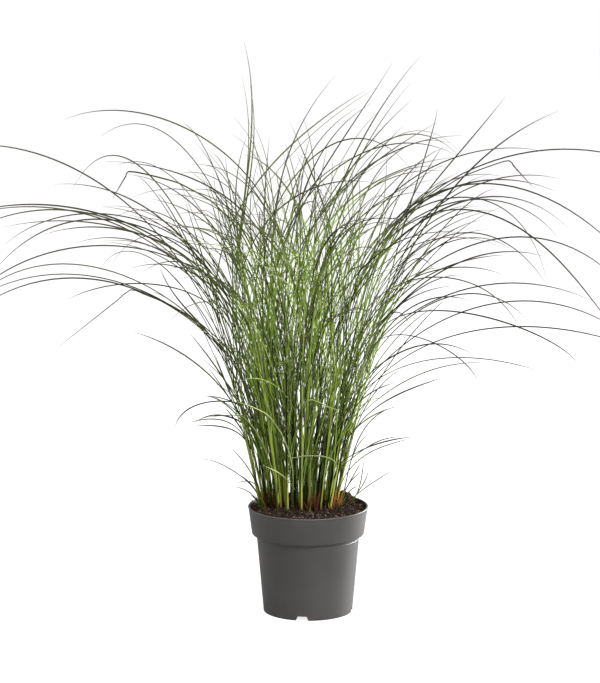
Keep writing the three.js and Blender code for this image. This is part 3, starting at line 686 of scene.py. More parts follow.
    def creased_curve(self, points: Sequence[Point]) -> list[Point]:
        """A curve through all but the last point, then straight on to it."""
        crease = points[-2]
        hang = minus(points[-1], crease)
        whole = self.curve_through(points[:-1])
        straight_steps = 6
        curved_steps = self.curve_steps - straight_steps
        curve = [whole[round(i * self.curve_steps / curved_steps)] for i in range(curved_steps + 1)]
        return curve + [plus(crease, hang, i / straight_steps) for i in range(1, straight_steps + 1)]

    def chained_curve(self, points: Sequence[Point]) -> list[Point]:
        """A smooth curve through many points, which bends from each to the next as its neighbours lie."""
        chain = [points[0], *points, points[-1]]
        last = len(points) - 1
        curve = []
        for step in range(self.curve_steps + 1):
            at = last * step / self.curve_steps
            i = min(last - 1, int(at))
            t = at - i
            weights = (
                -0.5 * t + t * t - 0.5 * t**3,
                1 - 2.5 * t * t + 1.5 * t**3,
                0.5 * t + 2 * t * t - 1.5 * t**3,
                -0.5 * t * t + 0.5 * t**3,
            )
            point: Point = (0.0, 0.0, 0.0)
            for knot, weight in zip(chain[i : i + 4], weights):
                point = plus(point, knot, weight)
            curve.append(point)
        return curve

    def deepen(self, x: float, z: float, y: float) -> Point:
        """A point of the front plane, moved along the viewer's line of sight to another depth.

        A tip at the clump's own reach stays at it.
        """
        share = (y - self.viewer[1]) / -self.viewer[1]
        across = x if abs(x) == self.reach[0] else mix(self.viewer[0], x, share)
        return across, y, mix(self.viewer[2], z, share)

    def slope_of(self, tiller: Tiller, points: Sequence[Pair]) -> float:
        """How a blade on the viewer's left or right goes in depth: on along its tiller's own lean."""
        outward = points[-1][0] - tiller.base[0]
        across = max(0.35, abs(math.cos(tiller.heading)))
        slope = math.sin(tiller.heading) / across
        slope = min(self.steepest_slope, max(-self.steepest_slope, slope))
        return slope * (1 if abs(outward) > 60 else 0.4)

    def misfit(self, tiller: Tiller, share: float, points: Sequence[Pair]) -> float:
        """How ill a listed blade would suit a tiller: how sharply it would turn, and how long it is."""
        root = tiller.point(share)
        slope = self.slope_of(tiller, points)
        first, second = (
            self.deepen(x, z, root[1] + slope * abs(x - root[0])) for x, z in points[:2]
        )
        leave = minus(first, root)
        onward = minus(second, first)
        turn_at_root = angle_between(tiller.direction(share), leave)
        turn_after = angle_between(leave, onward)
        length = size(leave) + size(onward)
        crowded = 0.09 * tiller.hand_laid
        backward = max(0, 0.25 - turn_after) * (1 if len(points) > 2 else 0)
        bends = turn_at_root + 0.35 * turn_after + 0.5 * backward
        return bends + max(0, length - self.longest_hand_laid) / 300 + crowded

    def hand_laid_blade(
        self,
        tiller: Tiller,
        share: float,
        points: Sequence[Pair],
        creased: bool,
        slope: float,
        width: float,
        roll: float,
    ) -> Blade:
        """A listed blade grown from a tiller, going towards or away from the viewer by a slope."""
        root = tiller.point(share)
        placed = [self.deepen(x, z, root[1] + slope * abs(x - root[0])) for x, z in points]
        curve = (self.creased_curve if creased else self.curve_through)([root, *placed])
        return Blade(curve, heading_to(root, placed[-1]), width, roll)

    def _keep(self, tiller: Tiller, blade: Blade, share: float, check: bool = True) -> bool:
        """Adds a blade to its tiller if it has room, and says whether it did."""
        balls = self.balls(blade, tiller.index)
        if check and self.thicket.holds(balls):
            return False
        tiller.blades.append(blade)
        tiller.shares.append(share)
        self.thicket.add(balls)
        return True

    def grow_hand_laid(self, points: Sequence[Pair], creased: bool, number: int) -> tuple[Tiller, float]:
        """Grows one listed blade from the tiller that suits it best and has room for it."""
        draw = drawer(Seed.HAND_LAID + number)
        width = mix(2.9, 3.7, draw())
        roll = degrees(40) * (draw() - 0.5)
        places = [
            (self.misfit(tiller, share, points), tiller, share)
            for tiller in self.grown
            for share in self.stem_shares
        ]
        places.sort(key=lambda place: place[0])
        for _, tiller, share in places[: self.homes_tried]:
            for attempt in range(self.slopes_tried):
                side = 1 if attempt % 2 else -1
                change = side * self.slope_step * math.ceil(attempt / 2)
                slope = self.slope_of(tiller, points) + change
                blade = self.hand_laid_blade(tiller, share, points, creased, slope, width, roll)
                if self.within_reach(blade) and self._keep(tiller, blade, share):
                    tiller.hand_laid += 1
                    return tiller, slope
        raise ValueError(f"hand-laid blade {number} finds no room")

    def arched_curve(
        self,
        root: Point,
        heading: float,
        lean: float,
        droop: float,
        power: float,
        length: float,
        swerve: float = 0.0,
    ) -> list[Point]:
        """A blade that arches over under its own weight: its pitch grows along it, and it swerves."""
        curve = [root]
        for i in range(self.curve_steps):
            share = (i + 0.5) / self.curve_steps
            pitch = mix(lean, droop, share**power)
            way = heading + swerve * share**2
            curve.append(plus(curve[i], leaning(pitch, way), length / self.curve_steps))
        return curve

    def drawn_blade(self, tiller: Tiller, order: int, seed: int) -> tuple[Blade, float]:
        """One draw of a blade of a rank: outer tillers' blades arch far out, and inner ones stay upright."""
        draw = drawer(seed)
        rank = self.ranks[order]
        share = rank.share + 0.07 * (draw() - 0.5)
        root = tiller.point(share)
        lean = mix(tiller.lean, tiller.lean_top, share)
        ranked = tiller.rank + (math.pi if order % 2 else 0) + degrees(70) * (draw() - 0.5)
        pull = tiller.outward * mix(0.5, 1.2, draw())
        heading = math.atan2(
            math.sin(ranked) + 1.6 * pull * math.sin(tiller.heading),
            math.cos(ranked) + 1.6 * pull * math.cos(tiller.heading),
        )
        depart = degrees(mix(*rank.depart, draw()))
        start = lean * math.cos(heading - tiller.heading) + depart
        outside = tiller.outward * max(0, math.cos(heading - tiller.heading))
        least_droop = mix(*rank.droop_low, outside)
        most_droop = mix(*rank.droop_high, outside)
        droop = degrees(mix(least_droop, most_droop, draw()))
        power = mix(1.3, 2.3, draw())
        length = mix(*rank.length, draw()) * mix(0.84, 1.08, outside)
        width = mix(*rank.width, draw())
        roll = degrees(60) * (draw() - 0.5)
        swerve = self.swerve * (2 * draw() - 1)
        curve = self.arched_curve(root, heading, start, droop, power, length, swerve)
        return Blade(curve, heading, width, roll), share

    def grow_drawn(self, tiller: Tiller, order: int) -> None:
        """Adds a drawn blade of a rank to a tiller, if one of its tries finds room."""
        for attempt in range(self.tries):
            seed = Seed.DRAWN + tiller.index * 1009 + order * 61 + attempt
            blade, share = self.drawn_blade(tiller, order, seed)
            inside = self.within_reach(blade) and self.within_outline(blade)
            if inside and self._keep(tiller, blade, share):
                return

    def grow_furthest(self, sign: int) -> None:
        """Grows the blade that reaches furthest to the front or to the back."""
        power, length, width = 1.3, 600, 3.6
        nearest = sorted(
            self.grown, key=lambda tiller: -sign * tiller.outward * math.sin(tiller.heading)
        )
        for tiller in nearest:
            for attempt in range(self.tries):
                draw = drawer(Seed.FURTHEST + attempt)
                share = mix(0.7, 0.85, draw())
                root = tiller.point(share)
                heading = sign * degrees(mix(82, 98, draw()))
                droop = degrees(mix(92, 102, draw()))
                way = (root, heading, tiller.lean_top, droop, power)
                trial = self.arched_curve(*way, length)
                scale = (sign * self.reach[1] - root[1]) / (trial[-1][1] - root[1])
                blade = Blade(self.arched_curve(*way, length * scale), heading, width, 0)
                if self.within_reach(blade) and self._keep(tiller, blade, share):
                    return

    def grow(self) -> None:
        """Grows the frame's clump: stems, then the listed blades, then the drawn ones."""
        for index in range(self.tillers):
            tiller = self.tiller_at(index)
            self.grown.append(tiller)
            rings = self.stem_rings(tiller)
            places, widths = [at for at, _ in rings], [half for _, half in rings]
            self.thicket.add(self.thicket.balls_along(places, widths, index))
        rows = [(points, False) for points in HAND_LAID] + [(points, True) for points in CREASED]
        self.homes = [
            self.grow_hand_laid(points, creased, number)
            for number, (points, creased) in enumerate(rows)
        ]
        self.grow_furthest(-1)
        self.grow_furthest(1)
        for order in reversed(range(len(self.ranks))):
            for tiller in self.grown:
                if len(tiller.blades) < self.most_blades:
                    self.grow_drawn(tiller, order)

    def thicken(self) -> None:
        """Adds the finer blades that the plain solids leave out, and gives each blade its looks."""
        for number, (points, (tiller, slope)) in enumerate(zip(HAND_LAID, self.homes)):
            if number % 2 and abs(points[-1][0]) < self.widest_companion:
                self._add_companion(points, tiller, slope, number)
        for tiller in self.grown:
            for order in self.fine_orders:
                if (tiller.index + order) % 3:
                    self._add_fine(tiller, order)
            for number in range(self.basal_blades):
                self._add_short(tiller, self._basal_blade, seed_for(Seed.BASAL, tiller.index, number))
            for number in range(self.crossing_blades):
                seed = seed_for(Seed.CROSSING, tiller.index, number)
                self._add_short(tiller, self._crossing_blade, seed)
        for number, points in enumerate(STRAYS):
            self._add_stray(points, number)
        for tiller in self.grown:
            for number, blade in enumerate(tiller.blades):
                draw = drawer(Seed.LOOKS + tiller.index * 101 + number)
                self._give_looks(blade, number < tiller.hand_laid, draw)

    def _give_looks(self, blade: Blade, laid: bool, draw: Draw) -> None:
        """Gives a blade its tone and twist; listed ones are darker, and others that arch out slimmer."""
        # painted shade: listed blades take a darker tone
        blade.tone *= draw() * (0.8 if laid else 1)
        twist = self.hand_laid_twist if laid else self.drawn_twist
        blade.twist = degrees(mix(*twist, draw())) * (1 if draw() > 0.5 else -1)
        if laid:
            # painted shade: listed blades whose tips hang low take a much darker tone
            if blade.curve[-1][2] < self.low_tips:
                blade.tone *= 0.4
            return
        if draw() > self.paler_from:
            blade.pale = max(0.6, blade.pale)
        if math.hypot(*blade.curve[-1][:2]) > self.arching:
            blade.width *= 0.8

    def _add_companion(self, points: Sequence[Pair], tiller: Tiller, slope: float, number: int) -> None:
        """Adds a thinner blade that runs near a listed one, from the same tiller."""
        draw = drawer(Seed.COMPANION + number)
        share = self.stem_shares[int(draw() * len(self.stem_shares))]
        shift_x, shift_z = 60 * (draw() - 0.5), 50 * (draw() - 0.5)
        shrink = mix(0.8, 0.99, draw())
        first_x, first_z = points[0]
        moved = [
            (first_x + shift_x + (x - first_x) * shrink, first_z + shift_z + (z - first_z) * shrink)
            for x, z in points
        ]
        width, roll = mix(2.0, 2.7, draw()), degrees(60) * (draw() - 0.5)
        lean = slope + mix(-0.25, 0.25, draw())
        blade = self.hand_laid_blade(tiller, share, moved, False, lean, width, roll)
        if self.within_reach(blade) and blade.curve[1][2] > blade.curve[0][2]:
            self._keep(tiller, blade, share, check=False)

    def _add_fine(self, tiller: Tiller, order: int) -> None:
        """Adds one fine drawn blade of a rank to a tiller, thinner than its others."""
        blade, share = self.drawn_blade(tiller, order, seed_for(Seed.FINE, tiller.index, order))
        blade.width *= self.fine_width
        if self.within_reach(blade) and self.within_outline(blade, self.fine_outline):
            self._keep(tiller, blade, share, check=False)

    def _add_stray(self, points: Sequence[Pair], number: int) -> None:
        """Adds a pale curled blade through many points, from the stem that is seen nearest to its start."""
        draw = drawer(Seed.STRAY + number)
        shares = [i / 40 for i in range(1, 35)]
        homes = [(tiller, share) for tiller in self.grown for share in shares]
        tiller, share = min(homes, key=lambda home: self._stray_gap(*home, points[0]))
        root = tiller.point(share)
        forward = mix(80, 130, draw())
        placed = []
        for x, z in points[1:]:
            run = math.dist(points[0], (x, z))
            placed.append(self.deepen(x, z, root[1] - forward * min(1, run / 80)))
        curve, heading = self.chained_curve([root, *placed]), heading_to(root, placed[-1])
        blade = Blade(curve, heading, mix(3.0, 3.8, draw()), 0.0, pale=1.0)
        self._keep(tiller, blade, share, check=False)

    def _stray_gap(self, tiller: Tiller, share: float, start: Pair) -> float:
        """How far a place on a stem is from a blade's start, as the viewer sees it, front stems first."""
        x, y, z = tiller.point(share)
        seen = self.viewer[1] / (self.viewer[1] - y)
        across = mix(self.viewer[0], x, seen) - start[0]
        upward = mix(self.viewer[2], z, seen) - start[1]
        return abs(across) + abs(upward) + 0.25 * y

    def _add_short(self, tiller: Tiller, drawn: Callable[..., tuple[Blade, float]], seed: int) -> None:
        """Adds a short fine blade, the first of some draws that stays inside the clump."""
        for attempt in range(self.tries):
            blade, share = drawn(tiller, drawer(seed + attempt))
            if self.within_reach(blade) and self.within_outline(blade, self.inner_outline):
                self._keep(tiller, blade, share, check=False)
                return

    def _crossing_blade(self, tiller: Tiller, draw: Draw) -> tuple[Blade, float]:
        """One draw of a fine blade that curls away across the stems."""
        share = mix(0.35, 0.95, draw())
        root = tiller.point(share)
        heading = 2 * math.pi * draw()
        start = tiller.lean * math.cos(heading - tiller.heading) + degrees(mix(5, 15, draw()))
        curl = draw() ** 2
        droop, length = degrees(mix(16, 120, curl)), mix(340, 160, curl) * mix(0.8, 1.2, draw())
        power, swerve = mix(1.0, 2.0, draw()), 1.5 * self.swerve * (2 * draw() - 1)
        curve = self.arched_curve(root, heading, start, droop, power, length, swerve)
        roll = degrees(80) * (draw() - 0.5)
        return Blade(curve, heading, mix(1.7, 2.5, draw()), roll, 1.1), share

    def _basal_blade(self, tiller: Tiller, draw: Draw) -> tuple[Blade, float]:
        """One draw of a slim blade that grows from a tiller's foot, up between the stems."""
        share = mix(0.03, 0.14, draw())
        root = tiller.point(share)
        heading = tiller.heading + degrees(150) * (draw() - 0.5)
        start = tiller.lean + degrees(mix(1, 9, draw()))
        droop = degrees(mix(10, 55, draw()))
        length = mix(110, 300, draw())
        power, swerve = mix(1.6, 3, draw()), self.swerve * (2 * draw() - 1)
        curve = self.arched_curve(root, heading, start, droop, power, length, swerve)
        roll = degrees(80) * (draw() - 0.5)
        # the lower tone, 0.8, is painted shade down between the stems
        return Blade(curve, heading, mix(2.0, 2.8, draw()), roll, 0.8), share


class Value:
    """A number socket of a node tree; its operators add Math nodes."""

    def __init__(self, tree: NodeTree, socket: bpy.types.NodeSocket) -> None:
        """Wraps a socket of a tree."""
        self.tree = tree
        self.socket = socket

    def math(self, operation: str, *others: Value | float) -> Value:
        """A Math node on this value and others."""
        values = {index: other for index, other in enumerate((self, *others))}
        return self.tree.number("ShaderNodeMath", {"operation": operation}, values)

    def __add__(self, other: Value | float) -> Value:
        """This plus another."""
        return self.math("ADD", other)

    def __sub__(self, other: Value | float) -> Value:
        """This less another."""
        return self.math("SUBTRACT", other)

    def __mul__(self, other: Value | float) -> Value:
        """This times another."""
        return self.math("MULTIPLY", other)

    def __truediv__(self, other: Value | float) -> Value:
        """This over another."""
        return self.math("DIVIDE", other)

    def __pow__(self, other: Value | float) -> Value:
        """This to a power."""
        return self.math("POWER", other)

    def __rsub__(self, other: float) -> Value:
        """A number less this."""
        return self.math("MULTIPLY", -1.0) + other

    def __radd__(self, other: float) -> Value:
        """A number plus this."""
        return self + other

    def __rmul__(self, other: float) -> Value:
        """A number times this."""
        return self * other

    def rise(self, low: float, high: float) -> Value:
        """A soft step: 0 up to low, and 1 from high on."""
        ranged = {"Value": self, "From Min": low, "From Max": high}
        return self.tree.number("ShaderNodeMapRange", {"interpolation_type": "SMOOTHSTEP"}, ranged)


class NodeTree:
    """A shader or geometry node tree that is filled one node at a time."""

    def __init__(self, tree: bpy.types.NodeTree) -> None:
        """Wraps a tree."""
        self.tree = tree

    def node(self, kind: str, settings: Settings = None, inputs: Settings = None) -> bpy.types.Node:
        """Adds a node.

        Args:
            kind: the node's type.
            settings: what is set on the node itself, before its sockets.
            inputs: a value, Value or socket for each input, by its name, identifier or index.

        Returns:
            The new node.
        """
        node = self.tree.nodes.new(kind)
        for name, setting in (settings or {}).items():
            setattr(node, name, setting)
        for name, value in (inputs or {}).items():
            socket = self._input(node, name)
            if isinstance(value, Value):
                self.tree.links.new(value.socket, socket)
            elif isinstance(value, bpy.types.NodeSocket):
                self.tree.links.new(value, socket)
            else:
                socket.default_value = value
        return node

    def _input(self, node: bpy.types.Node, name: str | int) -> bpy.types.NodeSocket:
        """A node's input by its index, identifier or name."""
        if isinstance(name, int):
            return node.inputs[name]
        return next(s for s in node.inputs if name in (s.identifier, s.name))

    def first(self, kind: str, settings: Settings = None, inputs: Settings = None) -> bpy.types.NodeSocket:
        """Adds a node and gives its first output."""
        return self.node(kind, settings, inputs).outputs[0]

    def number(self, kind: str, settings: Settings = None, inputs: Settings = None) -> Value:
        """Adds a node and gives its first output as a number."""
        return Value(self, self.first(kind, settings, inputs))


class Shader(NodeTree):
    """A material under construction, with one Principled surface."""

    def __init__(self, name: str) -> None:
        """Starts an empty material."""
        self.material = bpy.data.materials.new(name)
        self.material.use_nodes = True
        super().__init__(self.material.node_tree)
        self.tree.nodes.clear()
        self.place = self.node("ShaderNodeTexCoord").outputs["Object"]

    def attribute(self, name: str) -> Value:
        """A number that the mesh carries under a name."""
        return Value(self, self.node("ShaderNodeAttribute", {"attribute_name": name}).outputs["Fac"])

    def noise(self, scale: float, detail: float = 3.0, stretch: Colour = (1, 1, 1)) -> Value:
        """Noise over the piece's own place, from 0 to 1.

        Args:
            scale: how many blobs fit in a metre.
            detail: how many finer layers it has.
            stretch: how much closer the pattern is along each axis.

        Returns:
            The noise as a number.
        """
        mapped = self.node("ShaderNodeMapping", None, {"Vector": self.place, "Scale": stretch})
        inputs = {"Vector": mapped.outputs[0], "Scale": scale, "Detail": detail}
        return Value(self, self.node("ShaderNodeTexNoise", None, inputs).outputs["Fac"])

    def blend(self, share: Value | float, first: Any, second: Any) -> bpy.types.NodeSocket:
        """The colour that goes from the first to the second by a share."""
        colours = {
            name: (*colour, 1.0) if isinstance(colour, tuple) else colour
            for name, colour in (("A_Color", first), ("B_Color", second))
        }
        inputs = {"Factor_Float": share, **colours}
        return self.node("ShaderNodeMix", {"data_type": "RGBA"}, inputs).outputs[2]

    def bump(self, height: Value, strength: float, depth: float) -> bpy.types.NodeSocket:
        """A relief from a height, with its full depth in metres."""
        inputs = {"Height": height, "Strength": strength, "Distance": depth}
        return self.first("ShaderNodeBump", None, inputs)

    def axes(self) -> list[Value]:
        """The piece's own place, as x, y and z."""
        split = self.node("ShaderNodeSeparateXYZ", None, {"Vector": self.place})
        return [Value(self, socket) for socket in split.outputs]

    def surface(
        self, colour: Any, roughness: Value, relief: bpy.types.NodeSocket, specular: float
    ) -> bpy.types.Material:
        """Ends the material with a surface that only reflects."""
        inputs = {"Base Color": colour, "Roughness": roughness, "Normal": relief}
        return self.finish({**inputs, "Specular IOR Level": specular})

    def finish(self, inputs: dict[str, Any]) -> bpy.types.Material:
        """Ends the material with its surface."""
        surface = self.first("ShaderNodeBsdfPrincipled", None, inputs)
        self.node("ShaderNodeOutputMaterial", None, {"Surface": surface})
        return self.material


@dataclass(frozen=True)
class GrassFinish:
    """Grass: bright in the clump; painted shade makes it darker green at its sides and dark grey further
    out, higher up and to the left; painted highlights on some blades; dry tips.
    """

    fresh: Colour = (0.205, 0.335, 0.026)
    # lit is a painted highlight green, and deep a near-black painted shade green; the tone picks between
    # them and fresh
    lit: Colour = (0.34, 0.48, 0.07)
    deep: Colour = (0.012, 0.018, 0.002)
    shaded_green: Colour = (0.066, 0.094, 0.010)
    # the dark greys of the outer blades are painted shade
    shaded_olive: Colour = (0.012, 0.011, 0.009)
    shaded_moss: Colour = (0.052, 0.048, 0.031)
    # pale is the pale blades' colour and the middle line's, which also serves as a painted highlight
    pale: Colour = (0.50, 0.58, 0.26)
    tip: Colour = (0.15, 0.12, 0.115)
    sheath: Colour = (0.46, 0.54, 0.09)
    foot: Colour = (0.16, 0.095, 0.035)
    cone_foot: float = 0.16
    cone_radius: float = 0.058
    cone_slope: float = 0.17
    # the cone leans to the right, so the painted shade falls more on the left
    cone_lean: float = 0.01
    cone_squash: float = 0.45

    def material(self) -> bpy.types.Material:
        """Makes the material; the green part of the clump is a cone that widens upwards, and outside it
        painted shade darkens the blades.
        """
        shader = Shader("grass_leaf")
        tone, along = shader.attribute("tone"), shader.attribute("along")
        across, stem = shader.attribute("across"), shader.attribute("stem")
        pale = shader.attribute("pale")
        x, y, z = shader.axes()
        above = z - self.cone_foot
        side = x - above * self.cone_lean
        outward = (side * side + y * y * self.cone_squash) ** 0.5
        streaks = shader.noise(26.0, 4.0, (1.0, 1.0, 0.25))
        # random tone and streaks, less side * 1.1, which darkens the blades on the right as painted shade
        mottle_and_side_shade = tone * 0.8 + streaks * 0.4 - side * 1.1 - 0.1
        # painted shade and painted highlight: low tones take the near-black deep green, high tones the lit
        # highlight green
        green = shader.blend(mottle_and_side_shade.rise(0.32, 0.66), self.deep, self.fresh)
        green = shader.blend(mottle_and_side_shade.rise(0.66, 0.94), green, self.lit)
        # painted shade: blades on the right turn to a darker green
        green = shader.blend(side.rise(0.04, 0.15) * 0.6, green, self.shaded_green)
        # painted shade: the dark grey that the outer blades take
        shade_grey = shader.blend(mottle_and_side_shade.rise(0.45, 0.9), self.shaded_olive, self.shaded_moss)
        beyond = outward - above * self.cone_slope - self.cone_radius
        shade_grey = shader.blend(mottle_and_side_shade.rise(0.2, 0.6) * (1 - beyond.rise(0.02, 0.13)), shade_grey, self.shaded_green)
        # painted shade mask: outside the cone, higher up, more to the left, and on low tones
        far = beyond.rise(-0.04, 0.07) + (z - side * 0.2).rise(0.46, 0.76) - tone * 0.6 + 0.22
        far = far.rise(0.0, 1.1)
        far = far * (1 - pale.rise(0.7, 0.9) * 0.7)
        leaf = shader.blend(far.rise(0.0, 0.4), green, self.shaded_green)
        leaf = shader.blend(far.rise(0.4, 1.0), leaf, shade_grey)
        # the pale middle line is the blade's own, and it also stands in for a painted highlight
        midrib_and_highlight = 1 - across.math("ABSOLUTE").rise(0.06, 0.3)
        leaf = shader.blend(midrib_and_highlight * 0.55 * (1 - far * 0.75), leaf, self.pale)
        leaf = shader.blend(pale * 0.8 * (1 - far), leaf, self.pale)
        leaf = shader.blend(along.rise(0.65, 1.0) * (1 - pale) * 0.75, leaf, self.tip)
        # painted shade: low-tone stems take the near-black deep green
        stalk = shader.blend(tone.rise(0.15, 0.65), self.deep, self.sheath)
        stalk = shader.blend(z.rise(0.2, 0.32) * 0.5, stalk, green)
        stalk = shader.blend(1 - (z + streaks * 0.014).rise(0.165, 0.186), stalk, self.foot)
        colour = shader.blend(stem, leaf, stalk)
        ribs = across.math("MULTIPLY", 28.0).math("SINE")
        return shader.surface(colour, 0.5 - streaks * 0.12, shader.bump(ribs, 0.25, 0.0002), 0.07)


@dataclass(frozen=True)
class DryFinish:
    """Old sheaths: orange brown, darker at the foot as painted shade, paler and fibrous to the torn tips."""

    brown: Colour = (0.060, 0.018, 0.007)
    orange: Colour = (0.42, 0.14, 0.018)
    straw: Colour = (0.46, 0.30, 0.11)

    def material(self) -> bpy.types.Material:
        """Makes the material."""
        shader = Shader("dry_sheath")
        tone, along = shader.attribute("tone"), shader.attribute("along")
        fibres = shader.noise(120.0, 4.0, (1.0, 1.0, 0.12))
        # along * 0.25 darkens the foot as painted shade and pales the torn tips
        light = tone + fibres * 0.4 + along * 0.25
        colour = shader.blend(light.rise(0.65, 1.35), self.brown, self.orange)
        colour = shader.blend((light + along * 0.4).rise(1.35, 1.9), colour, self.straw)
        return shader.surface(colour, 0.72 + fibres * 0.15, shader.bump(fibres, 0.5, 0.0004), 0.12)


@dataclass(frozen=True)
class PlasticFinish:
    """Dark grey moulded polypropylene: a satin skin with faint turning lines and a little dust."""

    grey: Colour = (0.050, 0.047, 0.045)
    worn: Colour = (0.066, 0.062, 0.060)
    dust: Colour = (0.11, 0.098, 0.087)

    def material(self) -> bpy.types.Material:
        """Makes the material."""
        shader = Shader("moulded_plastic")
        cloud = shader.noise(9.0, 5.0)
        grain = shader.noise(900.0, 2.0)
        lines = shader.noise(300.0, 2.0, (0.02, 0.02, 1.0))
        z = shader.axes()[2]
        colour = shader.blend(cloud.rise(0.3, 0.75), self.grey, self.worn)
        low = (1 - z.rise(0.0, 0.02)) * 0.35 + z.rise(0.155, 0.17) * 0.3
        colour = shader.blend(low * shader.noise(60.0, 5.0).rise(0.4, 0.7), colour, self.dust)
        relief = shader.bump(lines * 0.6 + grain * 0.4, 0.25, 0.00012)
        return shader.surface(colour, 0.36 + cloud * 0.12 + grain * 0.06, relief, 0.5)


@dataclass(frozen=True)
class SoilFinish:
    """Moist peat: nearly black between the crumbs, with brown and tan ones."""

    dark: Colour = (0.012, 0.007, 0.005)
    brown: Colour = (0.058, 0.039, 0.030)
    tan: Colour = (0.18, 0.13, 0.10)

    def material(self, name: str, lightest: float) -> bpy.types.Material:
        """Makes the material.

        Args:
            name: the material's name.
            lightest: how much of the tan the lightest crumbs take.

        Returns:
            The material.
        """
        shader = Shader(name)
        tone = shader.attribute("tone")
        clods = shader.noise(160.0, 6.0)
        colour = shader.blend((clods * 0.8 + tone * 0.4).rise(0.35, 0.85), self.dark, self.brown)
        colour = shader.blend(tone.rise(0.8, 1.0) * lightest, colour, self.tan)
        return shader.surface(colour, 0.8 + clods * 0.2, shader.bump(clods, 0.8, 0.0015), 0.1)


@dataclass(frozen=True)
class GrainFinish:
    """Pale bits in the soil, from white perlite to yellowish husk."""

    white: Colour = (0.62, 0.58, 0.48)
    husk: Colour = (0.45, 0.30, 0.13)

    def material(self) -> bpy.types.Material:
        """Makes the material."""
        shader = Shader("pale_grain")
        tone = shader.attribute("tone")
        pits = shader.noise(1500.0, 3.0)
        colour = shader.blend((tone + pits * 0.3).rise(0.3, 0.9), self.husk, self.white)
        bumped = shader.bump(pits, 0.6, 0.0003)
        return shader.finish({"Base Color": colour, "Roughness": 0.7 + pits * 0.2, "Normal": bumped})


@dataclass
class Strand:
    """A stem, blade or sheath to be given its section: its path and what changes along it, in metres.

    At each point, wide is the direction and length of the half width, deep the direction of the thickness,
    thin the half thickness, and fold how far the edges stand up from the middle.
    """

    tone: float
    stem: float = 0.0
    pale: float = 0.0
    points: list[Point] = field(default_factory=list)
    wide: list[Point] = field(default_factory=list)
    deep: list[Point] = field(default_factory=list)
    thin: list[float] = field(default_factory=list)
    fold: list[float] = field(default_factory=list)

    def add(self, at: Point, wide: Point, deep: Point, thin: float, fold: float = 0.0) -> None:
        """Adds a point to the path, in millimetres, with what the strand is there."""
        self.points.append(scaled(at))
        self.wide.append(scaled(wide))
        self.deep.append(deep)
        self.thin.append(METRES * thin)
        self.fold.append(METRES * fold)


def linked(name: str, data: bpy.types.ID) -> bpy.types.Object:
    """A new object in the scene, for a mesh, a lamp or a camera."""
    made = bpy.data.objects.new(name, data)
    bpy.context.scene.collection.objects.link(made)
    return made


class GeometryTree(NodeTree):
    """A geometry tree with named inputs that turns a mesh into a piece of plain mesh with one finish."""

    def __init__(self, name: str, kinds: dict[str, str]) -> None:
        """Starts the tree.

        Args:
            name: the tree's name.
            kinds: the kind of socket of each named input, the geometry first.
        """
        super().__init__(bpy.data.node_groups.new(name, "GeometryNodeTree"))
        face = self.tree.interface
        self.keys = {
            label: face.new_socket(name=label, in_out="INPUT", socket_type="NodeSocket" + kind).identifier
            for label, kind in kinds.items()
        }
        face.new_socket(name="Piece", in_out="OUTPUT", socket_type="NodeSocketGeometry")
        self.entry = self.node("NodeGroupInput").outputs

    def store(self, shape: bpy.types.NodeSocket, name: str, value: Any) -> bpy.types.NodeSocket:
        """Stores a number on a shape's points under a name."""
        settings = {"data_type": "FLOAT", "domain": "POINT"}
        inputs = {"Geometry": shape, "Name": name, "Value": value}
        return self.first("GeometryNodeStoreNamedAttribute", settings, inputs)

    def close(self, shape: bpy.types.NodeSocket) -> None:
        """Ends the tree with a shape, made real and given its finish."""
        real = self.first("GeometryNodeRealizeInstances", None, {"Geometry": shape})
        dressed = {"Geometry": real, "Material": self.entry["Finish"]}
        done = self.first("GeometryNodeSetMaterial", None, dressed)
        self.node("NodeGroupOutput", None, {"Piece": done})

    def piece(self, name: str, mesh: bpy.types.Mesh, values: dict[str, Any]) -> bpy.types.Object:
        """Runs the tree on a mesh.

        Args:
            name: the piece's name.
            mesh: what the tree works on.
            values: the value of each named input but the geometry.

        Returns:
            The piece, with no modifier left.
        """
        worker = linked(name + "_worker", mesh)
        modifier = worker.modifiers.new("tree", "NODES")
        modifier.node_group = self.tree
        for label, value in values.items():
            modifier[self.keys[label]] = value
        graph = bpy.context.evaluated_depsgraph_get()
        result = bpy.data.meshes.new_from_object(
            worker.evaluated_get(graph), preserve_all_data_layers=True, depsgraph=graph
        )
        bpy.data.objects.remove(worker)
        result.name = name
        return linked(name, result)


